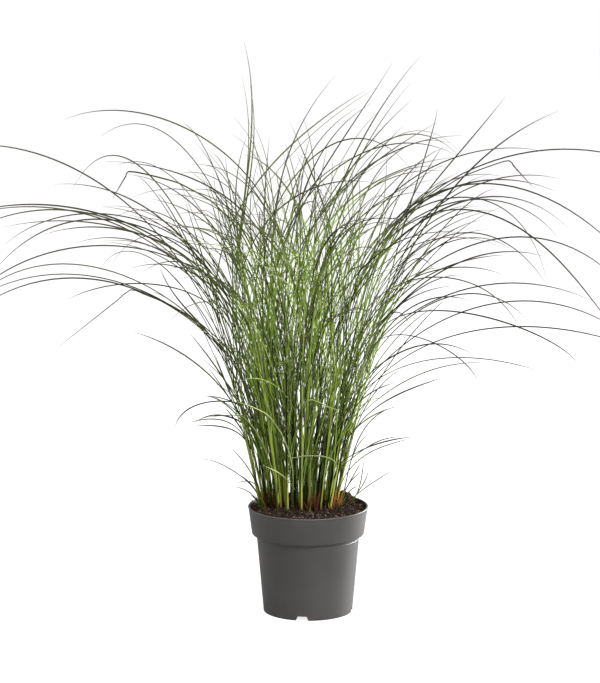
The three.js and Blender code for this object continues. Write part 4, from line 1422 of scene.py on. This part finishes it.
class StrandLoom(GeometryTree):
    """Geometry Nodes that give strands their section, as closed skins on one mesh."""

    fineness = 2

    def __init__(self) -> None:
        """Builds the tree."""
        kinds = {"Strands": "Geometry", "Corners": "Int", "Fineness": "Int", "Finish": "Material"}
        super().__init__("strand_skin", kinds)
        entry = self.entry
        curve = self.first("GeometryNodeMeshToCurve", None, {"Mesh": entry["Strands"]})
        kind = {"spline_type": "CATMULL_ROM"}
        smooth = self.first("GeometryNodeCurveSplineType", kind, {"Curve": curve})
        finer = {"Geometry": smooth, "Resolution": entry["Fineness"]}
        curve = self.first("GeometryNodeSetSplineResolution", None, finer)
        corners = {"Resolution": entry["Corners"]}
        circle = self.first("GeometryNodeCurvePrimitiveCircle", {"mode": "RADIUS"}, corners)
        turn = self.number("GeometryNodeInputIndex") * (2 * math.pi) / Value(self, entry["Corners"])
        profile = self.store(circle, "section", turn)
        skin = {"Curve": curve, "Profile Curve": profile, "Fill Caps": True}
        mesh = self.first("GeometryNodeCurveToMesh", None, skin)
        turn = self._named("section")
        across = turn.math("COSINE")
        lift = across.math("ABSOLUTE") - 0.5
        height = self._named("thin") * turn.math("SINE") + self._named("fold") * lift
        wide = self._vector("SCALE", {0: self._named("wide", "FLOAT_VECTOR"), "Scale": across})
        deep = self._vector("SCALE", {0: self._named("deep", "FLOAT_VECTOR"), "Scale": height})
        offset = self._vector("ADD", {0: wide, 1: deep})
        place = self._vector("ADD", {0: self._named("centre", "FLOAT_VECTOR"), 1: offset})
        placed = self.first("GeometryNodeSetPosition", None, {"Geometry": mesh, "Position": place})
        marked = self.store(placed, "across", across)
        self.close(self.first("GeometryNodeSetShadeSmooth", None, {"Geometry": marked}))

    def _named(self, name: str, kind: str = "FLOAT") -> Value:
        """Reads what the shape carries under a name."""
        return self.number("GeometryNodeInputNamedAttribute", {"data_type": kind}, {"Name": name})

    def _vector(self, operation: str, inputs: dict[Any, Any]) -> bpy.types.NodeSocket:
        """A sum of two vectors, or a vector times a number."""
        return self.first("ShaderNodeVectorMath", {"operation": operation}, inputs)

    def weave(
        self, name: str, strands: Sequence[Strand], finish: bpy.types.Material, corners: int = 8
    ) -> bpy.types.Object:
        """Makes one piece from some strands.

        Args:
            name: the piece's name.
            strands: what it is made of.
            finish: its material.
            corners: how many corners the sections have.

        Returns:
            The finished piece, a plain mesh.
        """
        lines = bpy.data.meshes.new(name + "_lines")
        points = [point for strand in strands for point in strand.points]
        edges, start = [], 0
        for strand in strands:
            count = len(strand.points)
            edges += [(start + i, start + i + 1) for i in range(count - 1)]
            start += count
        lines.from_pydata(points, edges, [])
        carried = {"centre": points}
        for key in ("wide", "deep", "thin", "fold"):
            carried[key] = [value for strand in strands for value in getattr(strand, key)]
        carried["along"] = [
            i / (len(strand.points) - 1) for strand in strands for i in range(len(strand.points))
        ]
        for key in ("tone", "stem", "pale"):
            carried[key] = [getattr(strand, key) for strand in strands for _ in strand.points]
        for key, values in carried.items():
            flat = np.array(values, np.float32)
            kind, member = ("FLOAT", "value") if flat.ndim == 1 else ("FLOAT_VECTOR", "vector")
            lines.attributes.new(key, kind, "POINT").data.foreach_set(member, flat.ravel())
        settings = {"Corners": corners, "Fineness": self.fineness, "Finish": finish}
        return self.piece(name, lines, settings)


def seat(piece: bpy.types.Object, slot: Slot, *nodes: str) -> None:
    """Lets a piece ride on the plant, and stand for some nodes."""
    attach(piece, "root")
    if nodes:
        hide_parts(*nodes)
    LOG.info("%s: %d faces", piece.name, len(piece.data.polygons))


def seat_shell(
    name: str, mesh: bpy.types.Mesh, crease: float, finish: bpy.types.Material, slot: Slot, node: str
) -> None:
    """Seats a smooth mesh, sharp where it turns by more than a crease in degrees, in place of a node."""
    mesh.shade_smooth()
    mesh.set_sharp_from_angle(angle=degrees(crease))
    mesh.materials.clear()
    mesh.materials.append(finish)
    seat(linked(name, mesh), slot, node)


@dataclass
class Foliage:
    """The tillers as fine pieces: stems with their sheaths, and folded blades."""

    clump: Clump
    loom: StrandLoom
    blade_thin: float = 0.26
    least_half: float = 0.12
    fold_share: float = 0.95
    core_share: float = 0.66
    sheath_half: float = 1.45
    sheath_thin: float = 0.3
    rooting: float = 0.4
    stem_points: int = 16
    collar: float = 0.13
    young_shoots: int = 84

    def blade_strand(self, blade: Blade) -> Strand:
        """A blade with its section: folded like a gutter near the root, and flatter to the tip."""
        side = sideways(blade.heading)
        strand = Strand(blade.tone, pale=blade.pale)
        last = len(blade.curve) - 1
        for step, at in enumerate(blade.curve):
            share = step / last
            along = unit(minus(blade.curve[min(last, step + 1)], blade.curve[max(0, step - 1)]))
            flat = square_to(side, along)
            turn = blade.roll + blade.twist * share
            wide = plus(times(flat, math.cos(turn)), cross(along, flat), math.sin(turn))
            half = max(self.least_half, self.clump.leaf_half_width(blade, share))
            thin = self.blade_thin * min(1, 0.4 + half)
            fold = self.fold_share * half * mix(1.2, 0.8, share)
            strand.add(at, times(wide, half), cross(along, wide), thin, fold)
        return strand

    def stem_strand(self, tiller: Tiller) -> Strand:
        """A stem wrapped in its sheaths: a little thicker up to each collar, then thinner above it."""
        clump = self.clump
        side = sideways(tiller.heading)
        foot = plus(tiller.base, tiller.direction(0), -clump.stem_depth * self.rooting)
        strand = Strand(drawer(Seed.STEM + tiller.index)(), stem=1.0)
        for i in range(-1, self.stem_points + 1):
            share = max(0.0, i / self.stem_points)
            at = foot if i < 0 else tiller.point(share)
            along = tiller.direction(share)
            wide = square_to(side, along)
            top = min((collar for collar in tiller.shares if collar >= share), default=1.0)
            bottom = max((collar for collar in tiller.shares if collar < share), default=0.0)
            swell = 1 + self.collar * ((share - bottom) / max(0.02, top - bottom) - 0.5)
            taper = float(np.interp(share, [0, 0.09, 0.5, 0.86, 1], [1.04, 0.95, 0.75, 0.55, 0.06]))
            core = taper * swell * self.core_share
            half, thin = clump.stem_half_width * core, clump.stem_half_depth * core
            strand.add(at, times(wide, half), cross(along, wide), thin)
        return strand

    def sheath_strand(self, tiller: Tiller, number: int) -> Strand:
        """A leaf sheath that hugs one side of a stem from the soil to where its blade leaves."""
        clump = self.clump
        draw = drawer(Seed.SHEATH + tiller.index * 31 + number)
        turn = tiller.heading + number * 2 * math.pi / 3 + draw()
        top = mix(0.3, 0.86, draw())
        strand = Strand(draw(), stem=1.0)
        steps = 12
        for i in range(-1, steps + 1):
            share = top * max(0, i) / steps
            along = tiller.direction(share)
            at = tiller.point(share)
            if i < 0:
                at = plus(at, along, -clump.stem_depth * self.rooting)
            out = square_to((math.cos(turn), math.sin(turn), 0.0), along)
            closing = max(0, i) / steps
            half = self.sheath_half * mix(1.1, 0.75, closing) * (1 - closing**6)
            away = clump.stem_half_width * mix(0.62, 0.5, closing) + 1.2 * closing**4
            wide = times(cross(along, out), max(LEAST_HALF, half))
            strand.add(plus(at, out, away), wide, times(out, -1), self.sheath_thin, 0.8 * half)
        return strand

    def build(self, finish: bpy.types.Material) -> None:
        """Makes and seats each tiller."""
        for tiller in self.clump.grown:
            strands = [self.stem_strand(tiller)]
            strands += [self.sheath_strand(tiller, number) for number in range(3)]
            strands += [self.blade_strand(blade) for blade in tiller.blades]
            node = f"tiller_{tiller.index + 1:02d}"
            seat(self.loom.weave(node + "_leaves", strands, finish), Slot.GRASS, node)

    def build_wisps(self, finish: bpy.types.Material) -> None:
        """Makes the wisps and the young shoots that stand in the soil, as one piece."""
        strands = []
        for number, ((x, y), points) in enumerate(WISPS):
            draw = drawer(Seed.WISP + number)
            root = (x, y, self.clump.soil_height(x, y) - 4)
            slope = mix(-0.4, 0.4, draw())
            placed = [self.clump.deepen(px, pz, y + slope * abs(px - x)) for px, pz in points]
            curve, heading = self.clump.curve_through([root, *placed]), heading_to(root, placed[-1])
            # the low tone, 0.4 at most, is painted shade
            blade = Blade(curve, heading, mix(2.6, 3.4, draw()), 0.0, 0.4 * draw(), degrees(60))
            strands.append(self.blade_strand(blade))
        strands += [self.blade_strand(self.young_shoot(number)) for number in range(self.young_shoots)]
        seat(self.loom.weave("crown_wisps", strands, finish), Slot.GRASS)

    def young_shoot(self, number: int) -> Blade:
        """A young shoot that stands in the soil between the stems and leans as they do; its low tone is
        painted shade.
        """
        clump = self.clump
        draw = drawer(Seed.YOUNG_SHOOT + number)
        outward, turn = math.sqrt(draw()), 2 * math.pi * draw()
        x = clump.crown[0] + clump.crown_half[0] * outward * math.cos(turn)
        y = clump.crown[1] + clump.crown_half[1] * outward * math.sin(turn)
        root = (x, y, clump.soil_height(x, y) - 4)
        start, droop = degrees(mix(-2, 12, draw()) * outward), degrees(mix(8, 35, draw()))
        length, swerve = mix(50, 230, draw()), clump.swerve * (2 * draw() - 1)
        curve = clump.arched_curve(root, turn, start, droop, 1.8, length, swerve)
        # the low tone, 0.55 at most, is painted shade between the stems
        return Blade(curve, turn, mix(2.6, 4.0, draw()), math.pi * draw(), 0.55 * draw(), degrees(40))


def lathed_mesh(name: str, outline: Sequence[Pair], sides: int) -> bpy.types.Mesh:
    """A closed solid of revolution about Z from its outline, which starts and ends on the axis.

    Args:
        name: the mesh's name.
        outline: points (radius, height) in millimetres, out from the bottom and back in at the top.
        sides: how many sides it has.

    Returns:
        The mesh, in metres.
    """
    turns = [2 * math.pi * i / sides for i in range(sides)]
    vertices = [(0.0, 0.0, outline[0][1])]
    for radius, height in outline[1:-1]:
        vertices += [(radius * math.cos(turn), radius * math.sin(turn), height) for turn in turns]
    vertices.append((0.0, 0.0, outline[-1][1]))
    top = len(vertices) - 1
    rings = len(outline) - 2
    faces: list[tuple[int, ...]] = []
    for i in range(sides):
        j = (i + 1) % sides
        faces.append((0, 1 + j, 1 + i))
        for ring in range(rings - 1):
            low, high = 1 + ring * sides, 1 + (ring + 1) * sides
            faces.append((low + i, low + j, high + j, high + i))
        faces.append((1 + (rings - 1) * sides + i, 1 + (rings - 1) * sides + j, top))
    mesh = bpy.data.meshes.new(name)
    mesh.from_pydata([scaled(vertex) for vertex in vertices], [], faces)
    return mesh


@dataclass
class Pot:
    """The nursery pot: a turned shell with a rolled lip, cut for its notches and drain holes."""

    sizes: PotSizes = field(default_factory=PotSizes)
    sides: int = 160

    def arc(
        self, centre: Pair, radius: float, start: float, end: float, steps: int = 5
    ) -> list[Pair]:
        """Points along an arc of the outline, between two angles in degrees."""
        turns = [degrees(mix(start, end, i / steps)) for i in range(steps + 1)]
        return [
            (centre[0] + radius * math.cos(turn), centre[1] + radius * math.sin(turn))
            for turn in turns
        ]

    def outline(self) -> list[Pair]:
        """The pot's outline, from the middle of its floor out, up, over the lip and back down inside."""
        s = self.sizes
        wall, foot = s.wall, s.band_foot
        floor_top = s.floor_underside + wall
        seam = s.shoulder_height - 3
        return [
            (0, s.floor_underside),
            (s.foot_radius - s.foot_width - 1, s.floor_underside),
            (s.foot_radius - s.foot_width, 0.4),
            *self.arc((s.foot_radius - s.foot_width + 0.8, 0.5), 0.5, 200, 270, 2),
            *self.arc((s.foot_radius - 1.4, 1.3), 1.3, 270, 355, 4),
            (s.foot_radius + 0.1, 4),
            (mix(s.foot_radius, s.shoulder_radius, 0.5), 62),
            (s.shoulder_radius - 0.35, seam - 1.5),
            *self.arc((s.shoulder_radius - 0.5, seam), 0.5, -50, 50, 2),
            (s.shoulder_radius - 0.1, s.shoulder_height - 0.6),
            *self.arc((s.shoulder_radius + 2.0, foot - 3.6), 1.7, 180, 95, 4),
            *self.arc((s.band_foot_radius - 2.6, foot + 0.8), 2.6, 275, 355, 6),
            (s.band_foot_radius + 2.9, foot + 22),
            (s.rim_radius - 1.1, s.height - 5.0),
            (s.rim_radius - 0.9, s.height - 3.4),
            *self.arc((s.rim_radius - 1.4, s.height - 1.5), 1.45, -45, 90, 6),
            *self.arc((s.rim_radius - s.lip_width + 1.2, s.height - 1.3), 1.3, 100, 190, 4),
            (s.rim_radius - wall - 1.1, s.height - 5.0),
            (s.band_foot_radius - wall + 2.9, foot + 22),
            *self.arc((s.band_foot_radius - wall - 2.0, foot + 2.6), 1.9, 355, 275, 3),
            *self.arc((s.shoulder_radius - wall + 1.4, foot - 1.2), 1.2, 95, 180, 3),
            (s.shoulder_radius - wall, s.shoulder_height - 4),
            (s.foot_radius - wall + 0.7, floor_top),
            (0, floor_top),
        ]

    def notch_mesh(self, turn: float) -> bpy.types.Mesh:
        """A wedge that cuts a notch through the foot ring."""
        s = self.sizes
        inner, outer = s.foot_radius - 10, s.foot_radius + 10
        section = [
            (-s.notch_foot / 2, -1.0),
            (s.notch_foot / 2, -1.0),
            (s.notch_top / 2, s.notch_height),
            (-s.notch_top / 2, s.notch_height),
        ]
        vertices = []
        for depth in (outer, inner):
            for across, height in section:
                x = across * math.cos(turn) + depth * math.sin(turn)
                y = across * math.sin(turn) - depth * math.cos(turn)
                vertices.append(scaled((x, y, height)))
        faces = [(0, 1, 2, 3), (7, 6, 5, 4)]
        faces += [(i + 4, (i + 1) % 4 + 4, (i + 1) % 4, i) for i in range(4)]
        mesh = bpy.data.meshes.new("notch")
        mesh.from_pydata(vertices, [], faces)
        return mesh

    def drain_mesh(self, turn: float) -> bpy.types.Mesh:
        """A round plug that cuts a drain hole through the floor."""
        s = self.sizes
        low, high = s.floor_underside - 3, s.floor_underside + s.wall + 3
        outline = [(0, low), (s.drain_radius, low), (s.drain_radius, high), (0, high)]
        mesh = lathed_mesh("drain", outline, 32)
        offset = Vector((math.cos(turn), math.sin(turn), 0)) * s.drain_circle * METRES
        for vertex in mesh.vertices:
            vertex.co += offset
        return mesh

    def build(self, finish: bpy.types.Material) -> None:
        """Makes and seats the pot."""
        s, circle = self.sizes, 2 * math.pi
        cutters = [
            linked("notch", self.notch_mesh(s.notch_turn + circle * i / s.notches))
            for i in range(s.notches)
        ]
        cutters += [linked("drain", self.drain_mesh(circle * i / s.drains)) for i in range(s.drains)]
        worker = linked("pot_worker", lathed_mesh("pot", self.outline(), self.sides))
        for cutter in cutters:
            cut = worker.modifiers.new("cut", "BOOLEAN")
            cut.operation, cut.solver, cut.object = "DIFFERENCE", "EXACT", cutter
        graph = bpy.context.evaluated_depsgraph_get()
        mesh = bpy.data.meshes.new_from_object(worker.evaluated_get(graph))
        for helper in (worker, *cutters):
            bpy.data.objects.remove(helper)
        seat_shell("pot_shell", mesh, 38, finish, Slot.POT, "pot")


class Scatter(GeometryTree):
    """Geometry Nodes that strew copies of a small shape over a surface."""

    full_turn = 6.2832
    small_share = 2.5

    def __init__(self) -> None:
        """Builds the tree."""
        kinds = {
            "Ground": "Geometry",
            "Bit": "Object",
            "Density": "Float",
            "Least Scale": "Float",
            "Most Scale": "Float",
            "Seed": "Int",
            "Finish": "Material",
        }
        super().__init__("strewn_bits", kinds)
        entry = self.entry
        seed = Value(self, entry["Seed"])
        spread = {"Mesh": entry["Ground"], "Density": entry["Density"], "Seed": entry["Seed"]}
        points = self.first("GeometryNodeDistributePointsOnFaces", None, spread)
        marked = self.store(points, "tone", self._random("FLOAT", 0.0, 1.0, seed + 1))
        bit = self.node("GeometryNodeObjectInfo", None, {"Object": entry["Bit"]}).outputs["Geometry"]
        turned = self._random("FLOAT_VECTOR", (0, 0, 0), (self.full_turn,) * 3, seed + 2)
        low, high = Value(self, entry["Least Scale"]), Value(self, entry["Most Scale"])
        share = Value(self, self._random("FLOAT", 0.0, 1.0, seed + 3)) ** self.small_share
        grown = low + (high - low) * share
        copies = {"Points": marked, "Instance": bit, "Rotation": turned, "Scale": grown}
        self.close(self.first("GeometryNodeInstanceOnPoints", None, copies))

    def _random(self, kind: str, low: Any, high: Any, seed: Value) -> bpy.types.NodeSocket:
        """A random number or vector for each point."""
        suffix, output = ("_001", 1) if kind == "FLOAT" else ("", 0)
        inputs = {"Min" + suffix: low, "Max" + suffix: high, "Seed": seed}
        return self.node("FunctionNodeRandomValue", {"data_type": kind}, inputs).outputs[output]

    def strew(
        self,
        name: str,
        ground: bpy.types.Mesh,
        bit: bpy.types.Object,
        density: float,
        scales: Pair,
        seed: int,
        finish: bpy.types.Material,
    ) -> bpy.types.Object:
        """Strews copies of a bit over some ground.

        Args:
            name: the piece's name.
            ground: the surface that they lie on.
            bit: the small shape.
            density: how many lie on a square metre.
            scales: the least and the greatest scale of a copy.
            seed: the whole number that fixes where they lie.
            finish: their material.

        Returns:
            The copies as one piece.
        """
        least, most = scales
        values = {"Bit": bit, "Density": density, "Least Scale": least, "Most Scale": most}
        return self.piece(name, ground, {**values, "Seed": seed, "Finish": finish})


@dataclass
class Soil:
    """The potting soil: a crumbly filling with loose crumbs, pale grains and root fibres on it."""

    clump: Clump
    pot: PotSizes
    loom: StrandLoom
    sides: int = 144
    rings: int = 46
    crumb_height: float = 1.5
    fibres: int = 150

    def edge_radius(self) -> float:
        """How far the soil's top reaches inside the rim band."""
        s = self.pot
        taper = (s.rim_radius - s.band_foot_radius) / s.band_height
        inside = s.band_foot_radius - s.wall - s.gap
        return inside + taper * (self.clump.soil_level - s.band_foot) - 0.6

    def top_height(self, x: float, y: float) -> float:
        """The soil's height with its clods and crumbs, at the level of the frame's plain top."""
        clods = noise.noise(Vector((x / 9, y / 9, 3.1)))
        crumbs = noise.noise(Vector((x / 2.6, y / 2.6, 7.7)))
        fine = noise.noise(Vector((x / 1.1, y / 1.1, 1.3)))
        rough = self.crumb_height * (clods + 0.7 * crumbs + 0.35 * fine)
        return self.clump.soil_height(x, y) + rough

    def filling_mesh(self) -> bpy.types.Mesh:
        """The soil as one closed solid inside the pot, rough on top."""
        s, gap = self.pot, self.pot.gap
        inner = s.wall + gap
        edge = self.edge_radius()
        floor = s.floor_underside + s.wall + gap
        top = [(edge * (self.rings - i) / self.rings, 0.0) for i in range(self.rings)]
        outline = [
            (0.0, floor),
            (s.foot_radius - inner - 0.4, floor),
            (s.shoulder_radius - inner - 0.5, s.shoulder_height - 2),
            (s.shoulder_radius - inner, s.band_foot + 1.2),
            (s.band_foot_radius - inner - 1.2, s.band_foot + 4),
            (edge, self.clump.soil_level - 4.5),
            *top,
            (0.0, 0.0),
        ]
        mesh = lathed_mesh("soil", outline, self.sides)
        for vertex in mesh.vertices:
            if vertex.co.z < 1e-6:
                x, y = vertex.co.x / METRES, vertex.co.y / METRES
                vertex.co.z = self.top_height(x, y) * METRES
        return mesh

    def ground_mesh(self) -> bpy.types.Mesh:
        """The soil's open top alone, for strewing on."""
        edge, steps = self.edge_radius() - 1.5, 40
        turns = [2 * math.pi * i / 64 for i in range(64)]
        vertices = []
        for ring in range(1, steps + 1):
            radius = edge * ring / steps
            for turn in turns:
                x, y = radius * math.cos(turn), radius * math.sin(turn)
                vertices.append(scaled((x, y, self.top_height(x, y) + 0.2)))
        faces = [
            (r * 64 + i, r * 64 + (i + 1) % 64, (r + 1) * 64 + (i + 1) % 64, (r + 1) * 64 + i)
            for r in range(steps - 1)
            for i in range(64)
        ]
        mesh = bpy.data.meshes.new("soil_top")
        mesh.from_pydata(vertices, [], [tuple(reversed(face)) for face in faces])
        return mesh

    def crumb(self, name: str, radius: float, squash: float, seed: float) -> bpy.types.Object:
        """A small uneven lump of a few faces."""
        golden = (1 + math.sqrt(5)) / 2
        corners = [
            Vector(corner).normalized()
            for a in (-1, 1)
            for b in (-golden, golden)
            for corner in ((0, a, b), (a, b, 0), (b, 0, a))
        ]
        vertices = []
        for corner in corners:
            bumpy = radius * (1 + 0.45 * noise.noise(corner * 1.7 + Vector((seed, 0, 0))))
            vertices.append(Vector((corner.x, corner.y, corner.z * squash)) * bumpy * METRES)
        mesh = bpy.data.meshes.new(name)
        faces = [
            (i, j, k)
            for i in range(12)
            for j in range(i + 1, 12)
            for k in range(j + 1, 12)
            if max(
                (corners[i] - corners[j]).length,
                (corners[j] - corners[k]).length,
                (corners[k] - corners[i]).length,
            )
            < 1.1
        ]
        outward = []
        for i, j, k in faces:
            normal = (corners[j] - corners[i]).cross(corners[k] - corners[i])
            outward.append((i, j, k) if normal.dot(corners[i]) > 0 else (i, k, j))
        mesh.from_pydata(vertices, [], outward)
        return bpy.data.objects.new(name, mesh)

    def fibre_strands(self) -> list[Strand]:
        """Bits of root and peat fibre that lie on the soil."""
        strands = []
        for number in range(self.fibres):
            draw = drawer(Seed.FIBRE + number)
            radius = (self.edge_radius() - 7) * math.sqrt(draw())
            turn = 2 * math.pi * draw()
            x, y = radius * math.cos(turn), radius * math.sin(turn)
            heading, bend = 2 * math.pi * draw(), mix(-1.5, 1.5, draw())
            length, half = mix(5, 15, draw()), mix(0.13, 0.4, draw())
            strand = Strand(draw())
            steps = 7
            for i in range(steps + 1):
                share = i / steps
                way = heading + bend * share
                arch = 1.6 * math.sin(math.pi * share) * (1 if number % 3 else 2)
                height = self.clump.soil_height(x, y) + 0.6 + arch
                narrow = half * (1.02 - abs(2 * share - 1) ** 3)
                wide = times(sideways(way), narrow)
                strand.add((x, y, height), wide, (0.0, 0.0, 1.0), narrow * 0.6)
                x += math.cos(way) * length / steps
                y += math.sin(way) * length / steps
            strands.append(strand)
        return strands

    def build(self, finish: SoilFinish, scatter: Scatter) -> None:
        """Makes and seats the soil and what lies on it."""
        peat, crumbly = finish.material("peat", 0.0), finish.material("crumbs", 0.7)
        pale = GrainFinish().material()
        seat_shell("soil_filling", self.filling_mesh(), 45, peat, Slot.SOIL, "soil")
        bits = [
            ("soil_crumbs", self.crumb("crumb", 1.3, 0.8, 4.0), 120000, (0.35, 2.0), 11, crumbly),
            ("soil_chips", self.crumb("chip", 1.6, 0.35, 9.0), 26000, (0.4, 1.9), 23, crumbly),
            ("soil_grains", self.crumb("grain", 0.85, 0.8, 2.0), 3800, (0.5, 1.5), 31, pale),
        ]
        for name, bit, *how in bits:
            seat(scatter.strew(name, self.ground_mesh(), bit, *how), Slot.SOIL)
        seat(self.loom.weave("soil_fibres", self.fibre_strands(), crumbly, 4), Slot.SOIL)


@dataclass
class OldShoots:
    """The brown shoots cut short long ago, each a stub in torn sheaths, and dry scales at the stems."""

    clump: Clump
    loom: StrandLoom
    count: int = 8
    near: float = 15
    rooted: float = 8
    # where the painted shade on the dry sheaths changes, by x: darkest left of the first, palest right of
    # the second
    shaded_side: float = -28
    lit_side: float = 22

    def strand(
        self, base: Point, lean: float, heading: float, height: float, half: float, tone: float
    ) -> Strand:
        """A sheath or stub that stands in the soil and leans out."""
        strand = Strand(tone)
        side = sideways(heading)
        point = plus(base, leaning(lean, heading), -self.rooted)
        steps = 8
        for i in range(steps + 1):
            share = i / steps
            along = leaning(lean + degrees(10) * share, heading)
            wide = square_to(side, along)
            narrow = max(LEAST_HALF, half * (1 - share**2.5))
            thin = max(LEAST_HALF, 0.3 * narrow)
            strand.add(point, times(wide, narrow), cross(along, wide), thin, 0.8 * narrow)
            point = plus(point, along, (height + self.rooted) / steps)
        return strand

    def shaded_tone_at(self, x: float, chance: float) -> float:
        """How light a dry sheath is: its own random tone, with painted shade that makes it darkest at the
        left and palest at the right.
        """
        if x < self.shaded_side:
            return 0.6 * chance
        return 0.1 + 0.6 * chance if x < self.lit_side else 0.2 + 0.8 * chance

    def home(self, number: int) -> tuple[Point, float]:
        """Where an old shoot stands on the soil, and its height, from its plain solid in the frame."""
        low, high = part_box(f"old_shoot_{number + 1}")
        x, y = (low.x + high.x) / 2 / METRES, (low.y + high.y) / 2 / METRES
        z = self.clump.soil_height(x, y)
        return (x, y, z), high.z / METRES - z

    def build(self, finish: bpy.types.Material) -> None:
        """Makes and seats the shoots and the scales."""
        middle_x, middle_y = self.clump.crown
        for number in range(self.count):
            node = f"old_shoot_{number + 1}"
            (x, y, z), height = self.home(number)
            heading = math.atan2(y - middle_y, x - middle_x)
            draw = drawer(Seed.OLD_SHOOT + number)
            lean = degrees(mix(6, 16, draw()))
            base = (x - 3 * math.cos(heading), y - 3 * math.sin(heading), z)
            strands = [self.strand(base, lean, heading, height, 2.4, self.shaded_tone_at(x, draw()))]
            for turn in (-2.1, 0.2, 2.3):
                way = heading + turn + 0.5 * draw()
                spread = (base[0] + 1.2 * math.cos(way), base[1] + 1.2 * math.sin(way), z)
                tall = height * mix(0.4, 0.95, draw())
                lean = degrees(mix(3, 20, draw()))
                strands.append(self.strand(spread, lean, way, tall, 2.0, self.shaded_tone_at(x, draw())))
            seat(self.loom.weave(node + "_sheaths", strands, finish), Slot.DRY, node)
        seat(self.loom.weave("basal_scales", self.scale_strands(), finish), Slot.DRY)

    def scale_strands(self) -> list[Strand]:
        """Short dry scales that hug the feet of the stems, more of them near an old shoot."""
        strands = []
        homes = [self.home(number)[0] for number in range(self.count)]
        for tiller in self.clump.grown:
            draw = drawer(Seed.SCALE + tiller.index)
            gap = min(math.dist(tiller.base[:2], home[:2]) for home in homes)
            for _ in range(3 if gap < self.near else 1):
                way = 2 * math.pi * draw()
                x = tiller.base[0] + 2.6 * math.cos(way)
                y = tiller.base[1] + 2.6 * math.sin(way)
                base = (x, y, tiller.base[2])
                height = mix(7, 26, draw()) if gap < self.near else mix(3, 9, draw())
                lean = tiller.lean * math.cos(way - tiller.heading) + degrees(mix(0, 9, draw()))
                half, tone = mix(1.1, 1.9, draw()), self.shaded_tone_at(x, draw())
                strands.append(self.strand(base, lean, way, height, half, tone))
        for number, (x, y, height, lean, way) in enumerate(SCRAPS):
            base = (x, y, self.clump.soil_height(x, y))
            tone = self.shaded_tone_at(x, drawer(Seed.SCRAP + number)())
            strands.append(self.strand(base, degrees(lean), degrees(way), height, 1.2, tone))
        return strands


@dataclass(frozen=True)
class Studio:
    """A pale floor in soft light, and the camera where the viewer stands."""

    eye: Point = (-0.0127, -6.0, 1.61)
    pitch: float = degrees(11.09)
    focal_pixels: float = 3900.0
    picture_height: float = 683.0
    sensor: float = 36.0
    floor_half: float = 30.0
    glow: float = 0.82
    floor_grey: float = 0.32
    sky: float = 0.55
    aim: Point = (0, 0, 0.35)
    lamps: tuple[tuple[str, Point, float, float, float], ...] = (
        ("key_softbox", (1.9, -2.6, 2.5), 1.6, 1.6, 150),
        ("left_strip", (-2.6, 0.2, 1.0), 0.6, 2.0, 10),
        ("right_softbox", (2.0, 1.3, 0.4), 1.4, 0.8, 140),
        ("top_softbox", (-0.2, -0.3, 3.0), 1.6, 1.6, 70),
    )

    def camera(self) -> None:
        """Places the camera."""
        data = bpy.data.cameras.new("viewer")
        data.sensor_fit = "VERTICAL"
        data.sensor_height = self.sensor
        data.lens = self.focal_pixels / self.picture_height * self.sensor
        data.clip_end = 200
        viewer = linked("viewer", data)
        viewer.location = self.eye
        viewer.rotation_euler = (math.pi / 2 - self.pitch, 0, 0)
        bpy.context.scene.camera = viewer

    def floor(self) -> None:
        """Lays a floor that looks nearly white but throws little light up at the plant."""
        half = self.floor_half
        corners = [(-half, -half, 0), (half, -half, 0), (half, half, 0), (-half, half, 0)]
        mesh = bpy.data.meshes.new("floor")
        mesh.from_pydata(corners, [], [(0, 1, 2, 3)])
        shader = Shader("pale_floor")
        seen = Value(shader, shader.node("ShaderNodeLightPath").outputs["Is Camera Ray"])
        grey = (self.floor_grey, self.floor_grey, self.floor_grey, 1)
        inputs = {
            "Base Color": grey,
            "Roughness": 1.0,
            "Specular IOR Level": 0.0,
            "Emission Color": shader.blend(seen, (0.0, 0.0, 0.0), (self.glow, self.glow, self.glow)),
            "Emission Strength": 1.0,
        }
        mesh.materials.append(shader.finish(inputs))
        linked("floor", mesh)

    def lamp(self, name: str, place: Point, width: float, height: float, power: float) -> None:
        """Hangs a softbox that faces the plant."""
        data = bpy.data.lights.new(name, "AREA")
        data.shape = "RECTANGLE"
        data.size, data.size_y, data.energy = width, height, power
        lamp = linked(name, data)
        lamp.location = place
        way = Vector(self.aim) - Vector(place)
        lamp.rotation_euler = way.to_track_quat("-Z", "Y").to_euler()

    def build(self) -> None:
        """Sets the floor, the lights, the sky and the camera."""
        self.floor()
        self.camera()
        for lamp in self.lamps:
            self.lamp(*lamp)
        world = bpy.data.worlds.new("sky")
        world.use_nodes = True
        background = world.node_tree.nodes["Background"]
        background.inputs["Color"].default_value = (1, 1, 1, 1)
        background.inputs["Strength"].default_value = self.sky
        bpy.context.scene.world = world
        bpy.context.scene.view_settings.view_transform = "Standard"


def main() -> None:
    """Loads the frame, dresses it, and notes the sizes."""
    logging.basicConfig(level=logging.INFO, format="%(name)s %(message)s")
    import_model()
    clump = Clump()
    clump.grow()
    LOG.info("plain blades: %d", sum(len(tiller.blades) for tiller in clump.grown))
    clump.thicken()
    LOG.info("all blades: %d", sum(len(tiller.blades) for tiller in clump.grown))
    loom = StrandLoom()
    grass = GrassFinish().material()
    foliage = Foliage(clump, loom)
    foliage.build(grass)
    foliage.build_wisps(grass)
    OldShoots(clump, loom).build(DryFinish().material())
    Pot().build(PlasticFinish().material())
    Soil(clump, PotSizes(), loom).build(SoilFinish(), Scatter())
    Studio().build()


if __name__ == "__main__":
    main()
